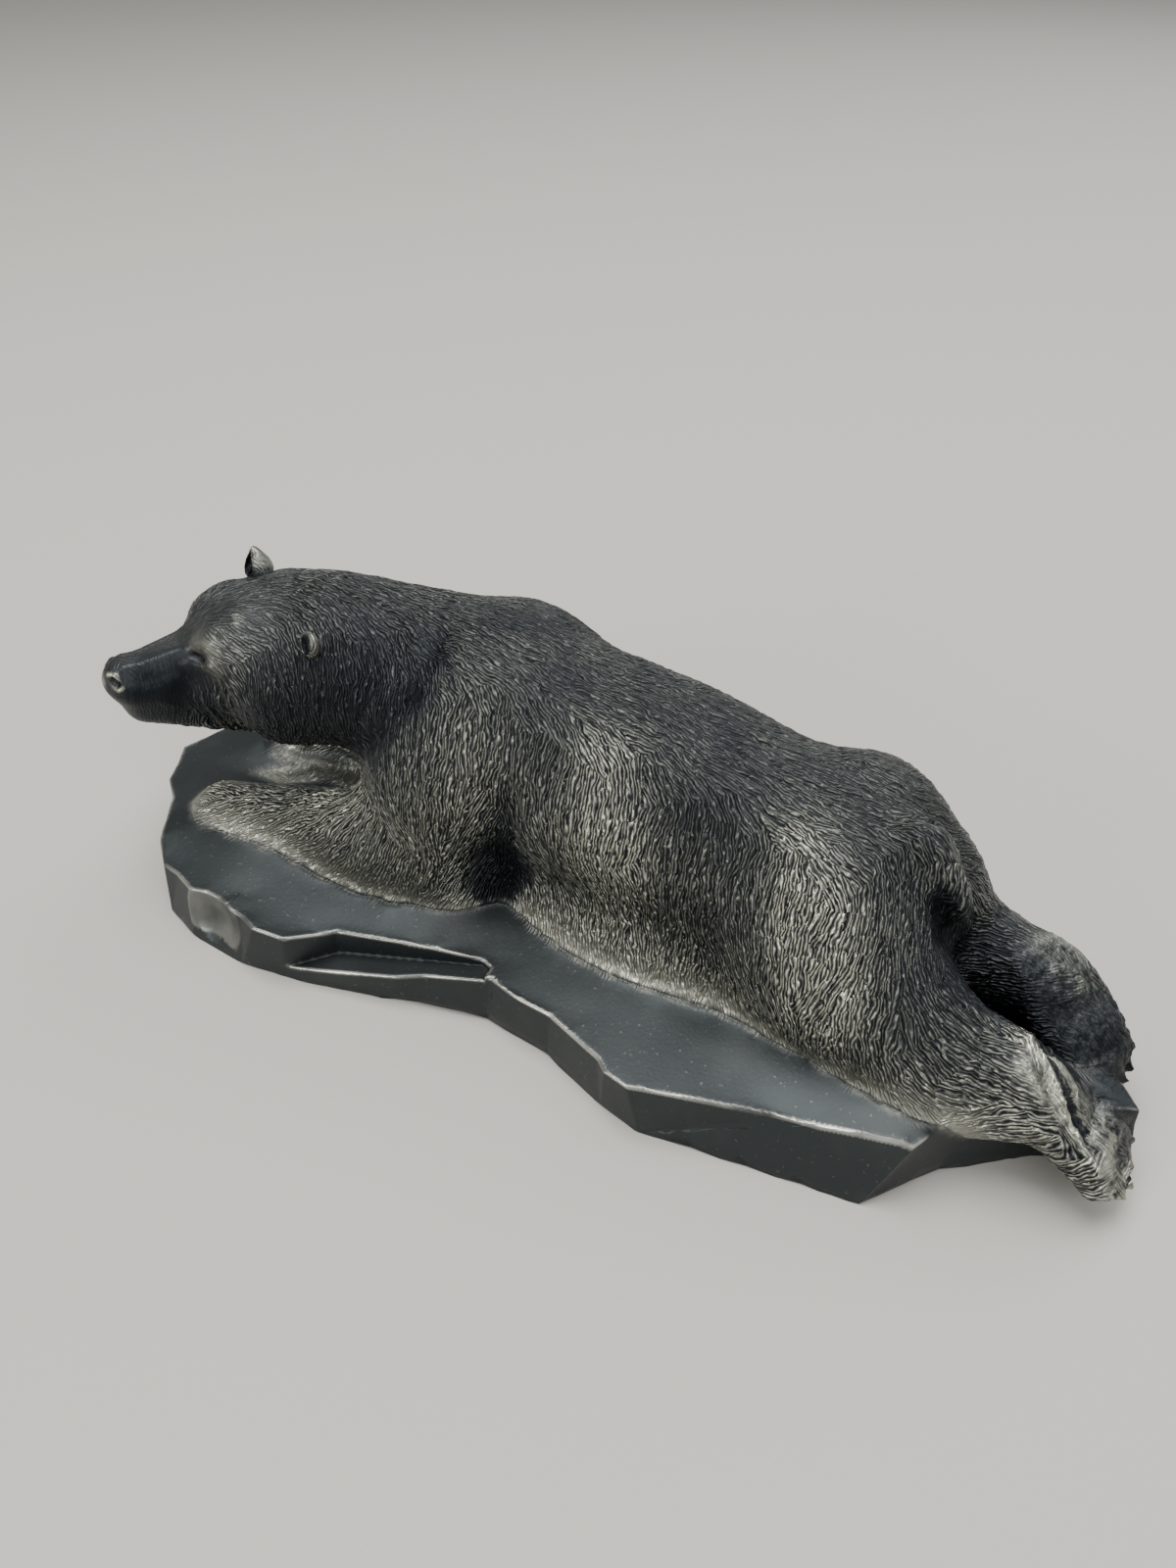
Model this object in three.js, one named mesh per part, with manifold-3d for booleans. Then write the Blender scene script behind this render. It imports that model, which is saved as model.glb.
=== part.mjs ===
// Cast-metal figurine: a polar bear stretched out on a floe of ice, bear and ice cast in one piece.
// Millimetres, +Z up. The bear's trunk points along -X and its left side is towards -Y.
import * as THREE from "three";
import { triTable } from "three/addons/objects/MarchingCubes.js";
import { mergeVertices } from "three/addons/utils/BufferGeometryUtils.js";
import Module from "manifold-3d";

const wasm = await Module();
wasm.setup();

// Driving dimensions
const MIDLINE = 7; // y of the backbone
const ICE_LEVEL = 8.4; // general height of the floe's top
const TRUNK_SPREAD = 1.2; // breadth of the trunk against its height, as it lies flattened by its weight
const MUZZLE_SPREAD = 1.2; // breadth of the muzzle against its height
const HEAD_CENTRE = new THREE.Vector3(-54, -4, 39); // middle of the skull
const HEAD_TURN = 54; // degrees that the head is turned to the bear's left
const HEAD_DIP = 0; // degrees that the nose points below the horizon
const HEAD_TILT = 4; // degrees that the left ear is lower than the right

// Trunk and neck: rows of balls from the rump forwards, [x, y, z, radius]
const TRUNK = [
  [43, MIDLINE, 24, 10],
  [36, MIDLINE, 24.2, 14.2],
  [22, MIDLINE, 25.4, 15],
  [8, MIDLINE, 27.6, 15.7],
  [-6, 6.5, 29.2, 15.7],
  [-20, 6, 29.6, 16.8],
];
const NECK = [
  [-20, 5, 30.5, 16.5],
  [-32, 5.5, 38, 11],
  [-44, -0.5, 40, 11.4],
  [-52, -3.5, 39, 10.8],
];
const TAIL = [
  [46.5, 6, 34.2, 4.6],
  [52, 4, 29.2, 2.7],
];
const FAR_BUTTOCK = [47.6, 11.6, 24, 7.7]; // right buttock, pushed up by the leg drawn in under it
const TAIL_PIT = [53.4, 0.8, 27, 2.4]; // pit between the tail and the left buttock

// Masses of flesh on both sides of the midline: [x, out from the midline, z] and half-sizes [x, y, z]
const PAIRED_MASSES = [
  { middle: [-20, 9.5, 29], half: [10, 9.5, 13.8] }, // shoulders
  { middle: [38, 9, 20.5], half: [12.5, 10.8, 14.8] }, // haunches
];
// Bunched ruff on the inside of the turned neck, [x, y, z, radius]
const RUFF = [
  [-47, -7, 36.6, 9.5],
  [-38.5, -3.5, 37.2, 9.7],
];
const CHEST = { middle: [-28, 4, 21], half: [14, 13, 13] };
const BELLY = { middle: [13, MIDLINE, 11], half: [33.5, 19.9, 10.6] };

// Hollows between arm and flank, root to elbow, given for the left side and mirrored across the midline
const ARM_HOLLOW = [
  [-6.5, -15.5, 36, 3],
  [-6.5, -17, 27, 4.2],
  [-9, -15.5, 17, 5],
];

// Limbs, root to tip
const LEFT_FORELEG = [
  [-20.5, -5, 27, 11],
  [-19.5, -7, 16, 10],
  [-30, -9.5, 12.5, 8.8],
  [-45, -11.3, 10.2, 6.9],
  [-57, -14.5, 10, 5.4],
  [-60.5, -15.2, 10, 5],
];
const RIGHT_FORELEG = [
  [-20, 17.5, 27, 11],
  [-24, 20.5, 16, 9.8],
  [-46, 12.5, 11, 6],
  [-59.5, 6, 10.4, 5.2],
  [-63.5, 4.2, 10.2, 4.8],
];
const LEFT_HINDLEG = [
  [40, -3, 19, 12],
  [56, -7.2, 14, 8.8],
  [66, -7, 12.8, 6.6],
];
const RIGHT_HINDLEG = [
  [40, 14, 18.5, 10.5],
  [56, 12.5, 15.5, 6.8],
  [65, 11, 15, 5.8],
];

// Hind feet: middle, way from heel to toes, way that the sole faces, half-sizes along, across and through
const HIND_FEET = [
  { middle: [74, -6.2, 11.4], toes: [16, -1.4, -14.5], sole: [0.7, 0, 0.7], half: [12, 6.8, 4] },
  { middle: [70.6, 8.6, 13.6], toes: [12, -5, -9.5], sole: [0.55, -0.35, 0.75], half: [10, 6.4, 3.8] },
];
const HIND_TOES = { count: 5, fan: 0.72, spread: 1, reach: 0.88, sink: 0.3, radius: 1.6 };
// Hollow of the sole and the pads in it: how far towards the toes and out, and half-sizes
const SOLE_HOLLOW = { along: -1, out: 9.4, half: [19, 13, 8] };
const SOLE_PADS = [
  { along: -5, out: 1.3, half: [3.6, 3.4, 1.1] },
  { along: 3.6, out: 1.3, half: [2.8, 4.8, 1.1] },
];

// Fore paws: last ball of the leg, way that the toes point, and the row of toes along the front
const FORE_PAWS = [
  { at: LEFT_FORELEG.at(-1), toes: [-1, -0.3, 0] },
  { at: RIGHT_FORELEG.at(-1), toes: [-1, -0.5, 0] },
];
const FORE_TOES = { count: 4, fan: 3.6, reach: 3.9, arch: 0.2, drop: 0.9, radius: 1.7 };

// Head, in its own axes: forwards to the nose, to its left, and up from the skull's middle
const SKULL = [
  [-3, 0, 0, 10],
  [5, 0, 0, 8],
];
const MUZZLE = [
  [8, 0, -0.6, 6.4],
  [16.5, 0, -1, 4.8],
  [21, 0, -0.9, 3.7],
];
const JAW = [
  [-4, 0, -6, 9],
  [7, 0, -7, 6.2],
  [20.1, 0, -4.9, 3.4],
];
const NOSE_PAD = [22.5, 0, 0.3, 2.6];
const CHEEK = [-1.5, 5.8, -4.8, 7.2]; // mirrored, as are the forehead, brow, hollows and nostril
const FOREHEAD = [4.4, 3.6, 4.6, 4.8];
const BROW = [7.6, 4.1, 4.3, 3.1];
const EYE_HOLLOW = [11.9, 5.9, 4.2, 1.3];
const STOP_HOLLOW = [14.4, 10.6, 0.4, 5.6]; // dip below the eye, where the muzzle leaves the cheek
const NOSTRIL = [24.8, 2.3, 1.2, 0.9];
// Ears: near which place on the head each one grows, how far it leans aside in degrees, and its size
const EARS = [
  { place: [-4.4, 12.4, 6.6], lean: 54, size: 0.72 },
  { place: [-1, -7.2, 7], lean: -30, size: 1 },
];
const EAR = { half: [1.8, 2.8, 3.4], pit: [1.5, 1.8, 2.2], pitAhead: 1.2, pitUp: 0.8, stand: 1.3 };

// Widths over which the flesh runs together
const BLEND = { trunk: 7, limb: 4, foot: 3.5, tail: 2.4, toe: 1.5, head: 4, muzzle: 2.2, hollow: 1 };

// Grid lines for carving the form, [from, to, step], and the longest triangle edge wanted round chosen places
const LINES_X = [-92, 92, 3.45];
const LINES_Y = [-34, 40, 3.45];
const LINES_Z = [-4, 62, 3.45];
const EDGE_LENGTHS = [
  { round: [-54, -4, 39], within: 16, edge: 2 }, // skull
  { round: [-65, -18, 38.5], within: 14, edge: 1.25 }, // face
  { round: [-60, -6, 11], within: 15, edge: 2.4 }, // fore paws
  { round: [73, 1, 11], within: 16, edge: 1.8 }, // hind feet
  { round: [53, MIDLINE, 27], within: 9, edge: 2.6 }, // tail
];
const EDGE_ELSEWHERE = 5;
const SURFACE_ROUNDS = 4; // steps that bring a place on to the surface
const EVEN_ROUNDS = { first: 4, later: 3, share: 0.6 }; // passes that even out the triangles
const SPLIT_ROUNDS = 2; // passes that split long edges
const SPLIT_OVER = 1.3; // an edge is split where it is longer than wanted by this factor
const EAR_FACETS = { cup: 3, pit: 2 };
const CHIP_FACETS = 5;
const FAR = 1e3; // a distance beyond everything
const TOP_REACH = { x: 95, y: 50, below: 1 }; // block of ice before its walls are cut

// Corners of the floe going round from the left end along the near side: the foot of the wall, then its head
const FLOE_CORNERS = [
  { foot: [-81, -4.8], head: [-80.4, -5.4] },
  { foot: [-76.8, -12.8], head: [-76, -13.4] },
  { foot: [-69, -24], head: [-67.5, -23] },
  { foot: [-61, -30.5], head: [-61, -29.5] },
  { foot: [-54, -32.8], head: [-54, -31.2] },
  { foot: [-43, -33.4], head: [-43, -31.6] },
  { foot: [-32, -31.4], head: [-33.5, -31.4] },
  { foot: [-18, -27.3], head: [-17, -27] },
  { foot: [-4, -23.6], head: [-3.5, -22.2] },
  { foot: [7, -24.4], head: [7.5, -23.8] },
  { foot: [18, -28], head: [17, -27] },
  { foot: [24.7, -29.2], head: [22.6, -29] },
  { foot: [54.5, -24.4], head: [57.8, -20.8] },
  { foot: [62, -14.5], head: [63.5, -12.4] },
  { foot: [72, -6], head: [72.5, -4.5] },
  { foot: [83.3, 0], head: [82.3, -0.6] },
  { foot: [79, 7.6], head: [77.4, 6.4] },
  { foot: [68, 23], head: [66, 21.5] },
  { foot: [52, 30], head: [51, 28] },
  { foot: [24, 34.5], head: [24, 32.5] },
  { foot: [4, 34], head: [5, 32.6] },
  { foot: [-18, 36], head: [-17, 34] },
  { foot: [-44, 31.5], head: [-43, 29.5] },
  { foot: [-64, 19], head: [-63, 18] },
  { foot: [-76, 6], head: [-75.5, 4.5] },
];
// Top of the floe: a bank of snow against the bear and slow waves elsewhere
const FLOE_TOP = { step: 5.5, bank: 2.2, bankReach: 4, wave: 0.35, waveLength: 37, tall: 20 };
// Rise of the top towards the ends: x where it starts, x where it is done, and its height
const FLOE_RISES = [
  { from: -20, to: -70, by: 1.4 },
  { from: 22, to: 58, by: 1 },
];
// Ledge broken out of the near edge: its floor's height at the middle of the floe, how steeply it climbs along
// the floe, and its plan
const LEDGE = {
  floor: 8.45,
  climb: 0.165,
  plan: [[-36, -33], [-29, -26.2], [-16, -22.6], [-6.4, -20], [-4.6, -20.6], [-3.2, -40], [-36, -40]],
};
// Shell-shaped chips: balls taken out of the wall, [x, y, z, radius]
const CHIPS = [
  [-49.5, -40.3, 7.5, 10],
  [75, 34, 8, 17],
];

// Distance from a point to a ball-ended cone between two balls
function roundCone([ax, ay, az, ra], [bx, by, bz, rb]) {
  const [dx, dy, dz] = [bx - ax, by - ay, bz - az];
  const lengthSq = dx * dx + dy * dy + dz * dz;
  const slope = ra - rb;
  const sideSq = lengthSq - slope * slope;
  return (x, y, z) => {
    const [px, py, pz] = [x - ax, y - ay, z - az];
    const along = px * dx + py * dy + pz * dz;
    const past = along - lengthSq;
    const [cx, cy, cz] = [px * lengthSq - dx * along, py * lengthSq - dy * along, pz * lengthSq - dz * along];
    const acrossSq = cx * cx + cy * cy + cz * cz;
    const alongSq = along * along * lengthSq;
    const pastSq = past * past * lengthSq;
    const bend = Math.sign(slope) * slope * slope * acrossSq;
    if (Math.sign(past) * sideSq * pastSq > bend) return Math.sqrt(acrossSq + pastSq) / lengthSq - rb;
    if (Math.sign(along) * sideSq * alongSq < bend) return Math.sqrt(acrossSq + alongSq) / lengthSq - ra;
    return (Math.sqrt((acrossSq * sideSq) / lengthSq) + along * slope) / lengthSq - ra;
  };
}

const ball = ([bx, by, bz, radius]) => (x, y, z) => Math.hypot(x - bx, y - by, z - bz) - radius;

// Distance to an ellipsoid with its half-sizes along the given axes
function ellipsoid(middle, half, axes = new THREE.Matrix4()) {
  const toLocal = axes.clone().setPosition(...middle).invert().elements;
  return (x, y, z) => {
    const u = (toLocal[0] * x + toLocal[4] * y + toLocal[8] * z + toLocal[12]) / half[0];
    const v = (toLocal[1] * x + toLocal[5] * y + toLocal[9] * z + toLocal[13]) / half[1];
    const w = (toLocal[2] * x + toLocal[6] * y + toLocal[10] * z + toLocal[14]) / half[2];
    const near = Math.hypot(u, v, w);
    const far = Math.hypot(u / half[0], v / half[1], w / half[2]);
    return far > 0 ? (near * (near - 1)) / far : -Math.min(...half);
  };
}

// Distance to a row of balls joined by cones
function chain(balls) {
  const cones = balls.slice(1).map((next, i) => roundCone(balls[i], next));
  return (x, y, z) => cones.reduce((least, at) => Math.min(least, at(x, y, z)), Infinity);
}

// The lesser of two distances, rounded where they meet over the given width
function blend(a, b, width) {
  const overlap = Math.max(width - Math.abs(a - b), 0) / width;
  return Math.min(a, b) - (overlap * overlap * width) / 4;
}

// Head axes in the figure's frame
const headAxes = new THREE.Matrix4()
  .makeRotationZ(THREE.MathUtils.degToRad(180 + HEAD_TURN))
  .multiply(new THREE.Matrix4().makeRotationY(THREE.MathUtils.degToRad(HEAD_DIP)))
  .multiply(new THREE.Matrix4().makeRotationX(THREE.MathUtils.degToRad(-HEAD_TILT)));
const toHead = headAxes.clone().setPosition(HEAD_CENTRE).invert().elements;

// A field given in the head's axes, in the figure's frame
function onHead(field, spread = 1) {
  return (x, y, z) =>
    field(
      toHead[0] * x + toHead[4] * y + toHead[8] * z + toHead[12],
      (toHead[1] * x + toHead[5] * y + toHead[9] * z + toHead[13]) / spread,
      toHead[2] * x + toHead[6] * y + toHead[10] * z + toHead[14],
    );
}

const mirrored = ([forwards, left, up, radius]) => [
  [forwards, left, up, radius],
  [forwards, -left, up, radius],
];

// Axes of a hind foot: along it to the toes, across it, and out of the sole
function footAxes({ toes, sole }) {
  const along = new THREE.Vector3(...toes).normalize();
  const across = new THREE.Vector3(...sole).cross(along).normalize();
  return new THREE.Matrix4().makeBasis(along, across, along.clone().cross(across));
}

// An ellipsoid over the sole of a hind foot: how far towards the toes, how far out, and its half-sizes
function onSole(foot, { along, out, half }) {
  const middle = new THREE.Vector3(along, 0, out).applyMatrix4(footAxes(foot).setPosition(...foot.middle));
  return ellipsoid([...middle], half, footAxes(foot));
}

// Toes of a hind foot: a fan of balls at the far end of the sole
function hindToes(foot) {
  const place = footAxes(foot).setPosition(...foot.middle);
  return Array.from({ length: HIND_TOES.count }, (_, n) => {
    const turn = HIND_TOES.fan * ((2 * n) / (HIND_TOES.count - 1) - 1);
    const [along, across] = [foot.half[0] * HIND_TOES.reach * Math.cos(turn), foot.half[1] * Math.sin(turn)];
    const toe = new THREE.Vector3(along, across * HIND_TOES.spread, -HIND_TOES.sink).applyMatrix4(place);
    return ball([...toe, HIND_TOES.radius]);
  });
}

// Toes of a fore paw: a row of balls across its front
function foreToes({ at: [x, y, z], toes }) {
  const ahead = new THREE.Vector3(...toes).normalize();
  const across = new THREE.Vector3(0, 0, 1).cross(ahead);
  return Array.from({ length: FORE_TOES.count }, (_, n) => {
    const aside = (2 * n) / (FORE_TOES.count - 1) - 1;
    const toe = new THREE.Vector3(x, y, z - FORE_TOES.drop)
      .addScaledVector(ahead, FORE_TOES.reach * (1 - FORE_TOES.arch * aside * aside))
      .addScaledVector(across, FORE_TOES.fan * aside);
    return ball([...toe, FORE_TOES.radius]);
  });
}

const trunkRow = chain(TRUNK);
const trunkAt = (x, y, z) => trunkRow(x, MIDLINE + (y - MIDLINE) / TRUNK_SPREAD, z);
const bothSides = ({ middle: [x, out, z], half }) =>
  [1, -1].map((side) => ellipsoid([x, MIDLINE + side * out, z], half));

// Flesh in the order that it is added, each with the width of the blend into what is already there
const withBlend = (width) => (at) => ({ at, width });
const FLESH = [
  ...[trunkAt, chain(NECK), ...PAIRED_MASSES.flatMap(bothSides)].map(withBlend(BLEND.trunk)),
  ...[chain(RUFF)].map(withBlend(BLEND.head)),
  ...[CHEST, BELLY].map(({ middle, half }) => ellipsoid(middle, half)).map(withBlend(BLEND.trunk)),
  ...[LEFT_FORELEG, RIGHT_FORELEG, LEFT_HINDLEG, RIGHT_HINDLEG].map(chain).map(withBlend(BLEND.limb)),
  ...HIND_FEET.map((foot) => ellipsoid(foot.middle, foot.half, footAxes(foot))).map(withBlend(BLEND.foot)),
  ...[...HIND_FEET.flatMap(hindToes), ...FORE_PAWS.flatMap(foreToes)].map(withBlend(BLEND.toe)),
  ...[ball(FAR_BUTTOCK)].map(withBlend(BLEND.limb)),
  ...[chain(TAIL)].map(withBlend(BLEND.tail)),
  ...[onHead(chain(SKULL)), onHead(chain(JAW))].map(withBlend(BLEND.head)),
  ...[...mirrored(CHEEK), ...mirrored(FOREHEAD)].map((part) => onHead(ball(part))).map(withBlend(BLEND.head)),
  ...[onHead(chain(MUZZLE), MUZZLE_SPREAD), onHead(ball(NOSE_PAD))].map(withBlend(BLEND.muzzle)),
  ...mirrored(BROW).map((brow) => onHead(ball(brow))).map(withBlend(BLEND.muzzle)),
];
const acrossMidline = ([x, y, z, radius]) => [x, 2 * MIDLINE - y, z, radius];
const HOLLOWS = [
  ...[STOP_HOLLOW, EYE_HOLLOW, NOSTRIL]
    .flatMap(mirrored)
    .map((hollow) => onHead(ball(hollow)))
    .map(withBlend(BLEND.hollow)),
  ...[ball(TAIL_PIT), ...HIND_FEET.map((foot) => onSole(foot, SOLE_HOLLOW))].map(withBlend(BLEND.hollow)),
  ...[ARM_HOLLOW, ARM_HOLLOW.map(acrossMidline)].map(chain).map(withBlend(BLEND.limb)),
];

const PADS = HIND_FEET.flatMap((foot) => SOLE_PADS.map((pad) => onSole(foot, pad)));

function bearAt(x, y, z) {
  const body = FLESH.reduce((distance, { at, width }) => blend(distance, at(x, y, z), width), FAR);
  const hollowed = HOLLOWS.reduce((distance, { at, width }) => -blend(-distance, at(x, y, z), width), body);
  return PADS.reduce((distance, at) => blend(distance, at(x, y, z), BLEND.toe), hollowed);
}

// Evenly spaced numbers from one end to the other
function spaced(from, to, step) {
  const count = Math.round((to - from) / step);
  return Array.from({ length: count + 1 }, (_, i) => from + ((to - from) * i) / count);
}

// Corners of a grid cell, and the corners that each of its edges joins
const CORNERS = [[0, 0, 0], [1, 0, 0], [1, 1, 0], [0, 1, 0], [0, 0, 1], [1, 0, 1], [1, 1, 1], [0, 1, 1]];
const FLAT_EDGES = [[0, 1], [1, 2], [3, 2], [0, 3]];
const EDGES = [
  ...FLAT_EDGES,
  ...FLAT_EDGES.map((edge) => edge.map((corner) => corner + 4)),
  ...FLAT_EDGES.map((_, corner) => [corner, corner + 4]),
];

// The closed surface where the field is zero, as shared vertices and triangles
function carve(field, xs, ys, zs) {
  const [nx, ny, nz] = [xs.length, ys.length, zs.length];
  const index = (i, j, k) => (k * ny + j) * nx + i;
  const values = new Float64Array(nx * ny * nz);
  for (let k = 0; k < nz; k++)
    for (let j = 0; j < ny; j++)
      for (let i = 0; i < nx; i++) values[index(i, j, k)] = field(xs[i], ys[j], zs[k]) || 1e-6;
  const vertices = [];
  const triangles = [];
  const made = new Map();
  const crossing = (a, b) => {
    const [ia, ib] = [index(...a), index(...b)];
    const key = Math.min(ia, ib) * values.length + Math.max(ia, ib);
    if (!made.has(key)) {
      const t = values[ia] / (values[ia] - values[ib]);
      const [p, q] = [a, b].map(([i, j, k]) => new THREE.Vector3(xs[i], ys[j], zs[k]));
      made.set(key, vertices.push(p.lerp(q, t)) - 1);
    }
    return made.get(key);
  };
  for (let k = 0; k + 1 < nz; k++)
    for (let j = 0; j + 1 < ny; j++)
      for (let i = 0; i + 1 < nx; i++) {
        const corners = CORNERS.map(([a, b, c]) => [i + a, j + b, k + c]);
        const inside = corners.reduce((bits, c, n) => bits | (values[index(...c)] < 0 ? 1 << n : 0), 0);
        for (let t = inside * 16; triTable[t] !== -1; t += 3) {
          const [a, b, c] = [0, 1, 2].map((n) => {
            const [from, to] = EDGES[triTable[t + n]];
            return crossing(corners[from], corners[to]);
          });
          triangles.push([a, c, b]);
        }
      }
  return { vertices, triangles };
}

// Slope of the field at a point
function slopeAt(field, { x, y, z }) {
  const e = 0.05;
  return new THREE.Vector3(
    field(x + e, y, z) - field(x - e, y, z),
    field(x, y + e, z) - field(x, y - e, z),
    field(x, y, z + e) - field(x, y, z - e),
  ).divideScalar(2 * e);
}

function ontoSurface(vertex, field) {
  const slope = slopeAt(field, vertex);
  vertex.addScaledVector(slope, -field(vertex.x, vertex.y, vertex.z) / Math.max(slope.lengthSq(), 0.1));
}

// Evens out the triangles: each vertex moves towards its neighbours' middle, then back on to the surface
function even({ vertices, triangles }, field, rounds) {
  const neighbours = vertices.map(() => new Set());
  triangles.forEach((t) => t.forEach((v, n) => neighbours[v].add(t[(n + 1) % 3])));
  for (let round = 0; round < rounds; round++) {
    const middles = neighbours.map((set) => {
      const middle = new THREE.Vector3();
      set.forEach((n) => middle.add(vertices[n]));
      return middle.divideScalar(set.size);
    });
    vertices.forEach((vertex, n) => {
      vertex.lerp(middles[n], EVEN_ROUNDS.share);
      ontoSurface(vertex, field);
    });
  }
}

// The longest edge wanted at a place
function wantedEdge(place) {
  const isNear = ({ round, within }) => place.distanceTo(new THREE.Vector3(...round)) < within;
  return Math.min(EDGE_ELSEWHERE, ...EDGE_LENGTHS.filter(isNear).map(({ edge }) => edge));
}

// Splits the edges that are longer than wanted and puts the new vertices on the surface
function refine({ vertices, triangles }, field) {
  const middles = new Map();
  const middleOf = (a, b) => {
    const key = Math.min(a, b) * 1e6 + Math.max(a, b);
    if (!middles.has(key)) {
      const middle = vertices[a].clone().lerp(vertices[b], 0.5);
      const long = vertices[a].distanceTo(vertices[b]) > wantedEdge(middle) * SPLIT_OVER;
      if (long) ontoSurface(middle, field);
      middles.set(key, long ? vertices.push(middle) - 1 : -1);
    }
    return middles.get(key);
  };
  return triangles.flatMap(([a, b, c]) => {
    const [p, q, r] = [middleOf(a, b), middleOf(b, c), middleOf(c, a)];
    const split = [p, q, r].filter((m) => m >= 0).length;
    if (split === 0) return [[a, b, c]];
    if (split === 3) return [[a, p, r], [p, b, q], [r, q, c], [p, q, r]];
    if (split === 1) {
      if (p >= 0) return [[a, p, c], [p, b, c]];
      if (q >= 0) return [[a, b, q], [a, q, c]];
      return [[a, b, r], [r, b, c]];
    }
    if (p < 0) return [[a, b, q], [a, q, r], [r, q, c]];
    if (q < 0) return [[a, p, r], [p, b, r], [r, b, c]];
    return [[b, q, p], [a, p, q], [a, q, c]];
  });
}

function solidOf(vertices, triangles) {
  return new wasm.Manifold(
    new wasm.Mesh({
      numProp: 3,
      vertProperties: new Float32Array(vertices.flatMap((v) => [v.x, v.y, v.z])),
      triVerts: new Uint32Array(triangles.flat()),
    }),
  );
}

// A closed solid from a geometry whose faces have vertices of their own
function solidFrom(geometry) {
  const bare = new THREE.BufferGeometry().setAttribute("position", geometry.attributes.position);
  if (geometry.index) bare.setIndex(geometry.index);
  const joined = mergeVertices(bare, 1e-4);
  return new wasm.Manifold(
    new wasm.Mesh({
      numProp: 3,
      vertProperties: joined.attributes.position.array,
      triVerts: new Uint32Array(joined.index.array),
    }),
  );
}

// A ball or ellipsoid solid in the given frame
function ballSolid(half, frame, detail) {
  return solidFrom(new THREE.IcosahedronGeometry(1, detail).scale(...half).applyMatrix4(frame));
}

// The bear: carve, refine and even out, then set the hollowed ears on the head
function bearSolid() {
  let skin = carve(bearAt, spaced(...LINES_X), spaced(...LINES_Y), spaced(...LINES_Z));
  even(skin, bearAt, EVEN_ROUNDS.first);
  for (let round = 0; round < SPLIT_ROUNDS; round++) {
    skin = { vertices: skin.vertices, triangles: refine(skin, bearAt) };
    even(skin, bearAt, EVEN_ROUNDS.later);
  }
  const head = headAxes.clone().setPosition(HEAD_CENTRE);
  return EARS.reduce((solid, { place, lean, size }) => {
    const root = new THREE.Vector3(...place).applyMatrix4(head);
    for (let round = 0; round < SURFACE_ROUNDS; round++) ontoSurface(root, bearAt);
    const frame = headAxes
      .clone()
      .setPosition(root)
      .multiply(new THREE.Matrix4().makeRotationX(THREE.MathUtils.degToRad(-lean)))
      .scale(new THREE.Vector3(size, size, size))
      .multiply(new THREE.Matrix4().makeTranslation(0, 0, EAR.stand));
    const pitFrame = frame.clone().multiply(new THREE.Matrix4().makeTranslation(EAR.pitAhead, 0, EAR.pitUp));
    const pit = ballSolid(EAR.pit, pitFrame, EAR_FACETS.pit);
    return solid.add(ballSolid(EAR.half, frame, EAR_FACETS.cup).subtract(pit));
  }, solidOf(skin.vertices, skin.triangles));
}

// Height of the floe's top: waves, a bank against the bear and rises at the ends
function iceTop(x, y) {
  const turn = (2 * Math.PI) / FLOE_TOP.waveLength;
  const wave = FLOE_TOP.wave * (Math.sin(turn * (x + 0.6 * y)) + Math.cos(turn * (1.3 * y - 0.4 * x)));
  const away = Math.max(bearAt(x, y, ICE_LEVEL + FLOE_TOP.bank), 0);
  const bank = FLOE_TOP.bank * Math.exp(-away / FLOE_TOP.bankReach);
  const rise = FLOE_RISES.reduce((sum, { from, to, by }) => {
    return sum + by * THREE.MathUtils.smoothstep((x - from) / (to - from), 0, 1);
  }, 0);
  return ICE_LEVEL + wave + rise + bank;
}

// The walls of the floe, running on above its top
function floeWalls() {
  const grow = FLOE_TOP.tall / ICE_LEVEL;
  const low = FLOE_CORNERS.map(({ foot }) => new THREE.Vector2(...foot));
  const high = FLOE_CORNERS.map(({ foot, head }, n) => low[n].clone().lerp(new THREE.Vector2(...head), grow));
  const count = low.length;
  const vertices = [
    ...low.map(({ x, y }) => new THREE.Vector3(x, y, 0)),
    ...high.map(({ x, y }) => new THREE.Vector3(x, y, FLOE_TOP.tall)),
  ];
  const triangles = [
    ...THREE.ShapeUtils.triangulateShape(low, []).map(([a, b, c]) => [a, c, b]),
    ...THREE.ShapeUtils.triangulateShape(high, []).map((t) => t.map((v) => v + count)),
  ];
  for (let n = 0; n < count; n++) {
    const next = (n + 1) % count;
    triangles.push([n, next, next + count], [n, next + count, n + count]);
  }
  return solidOf(vertices, triangles);
}

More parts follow.
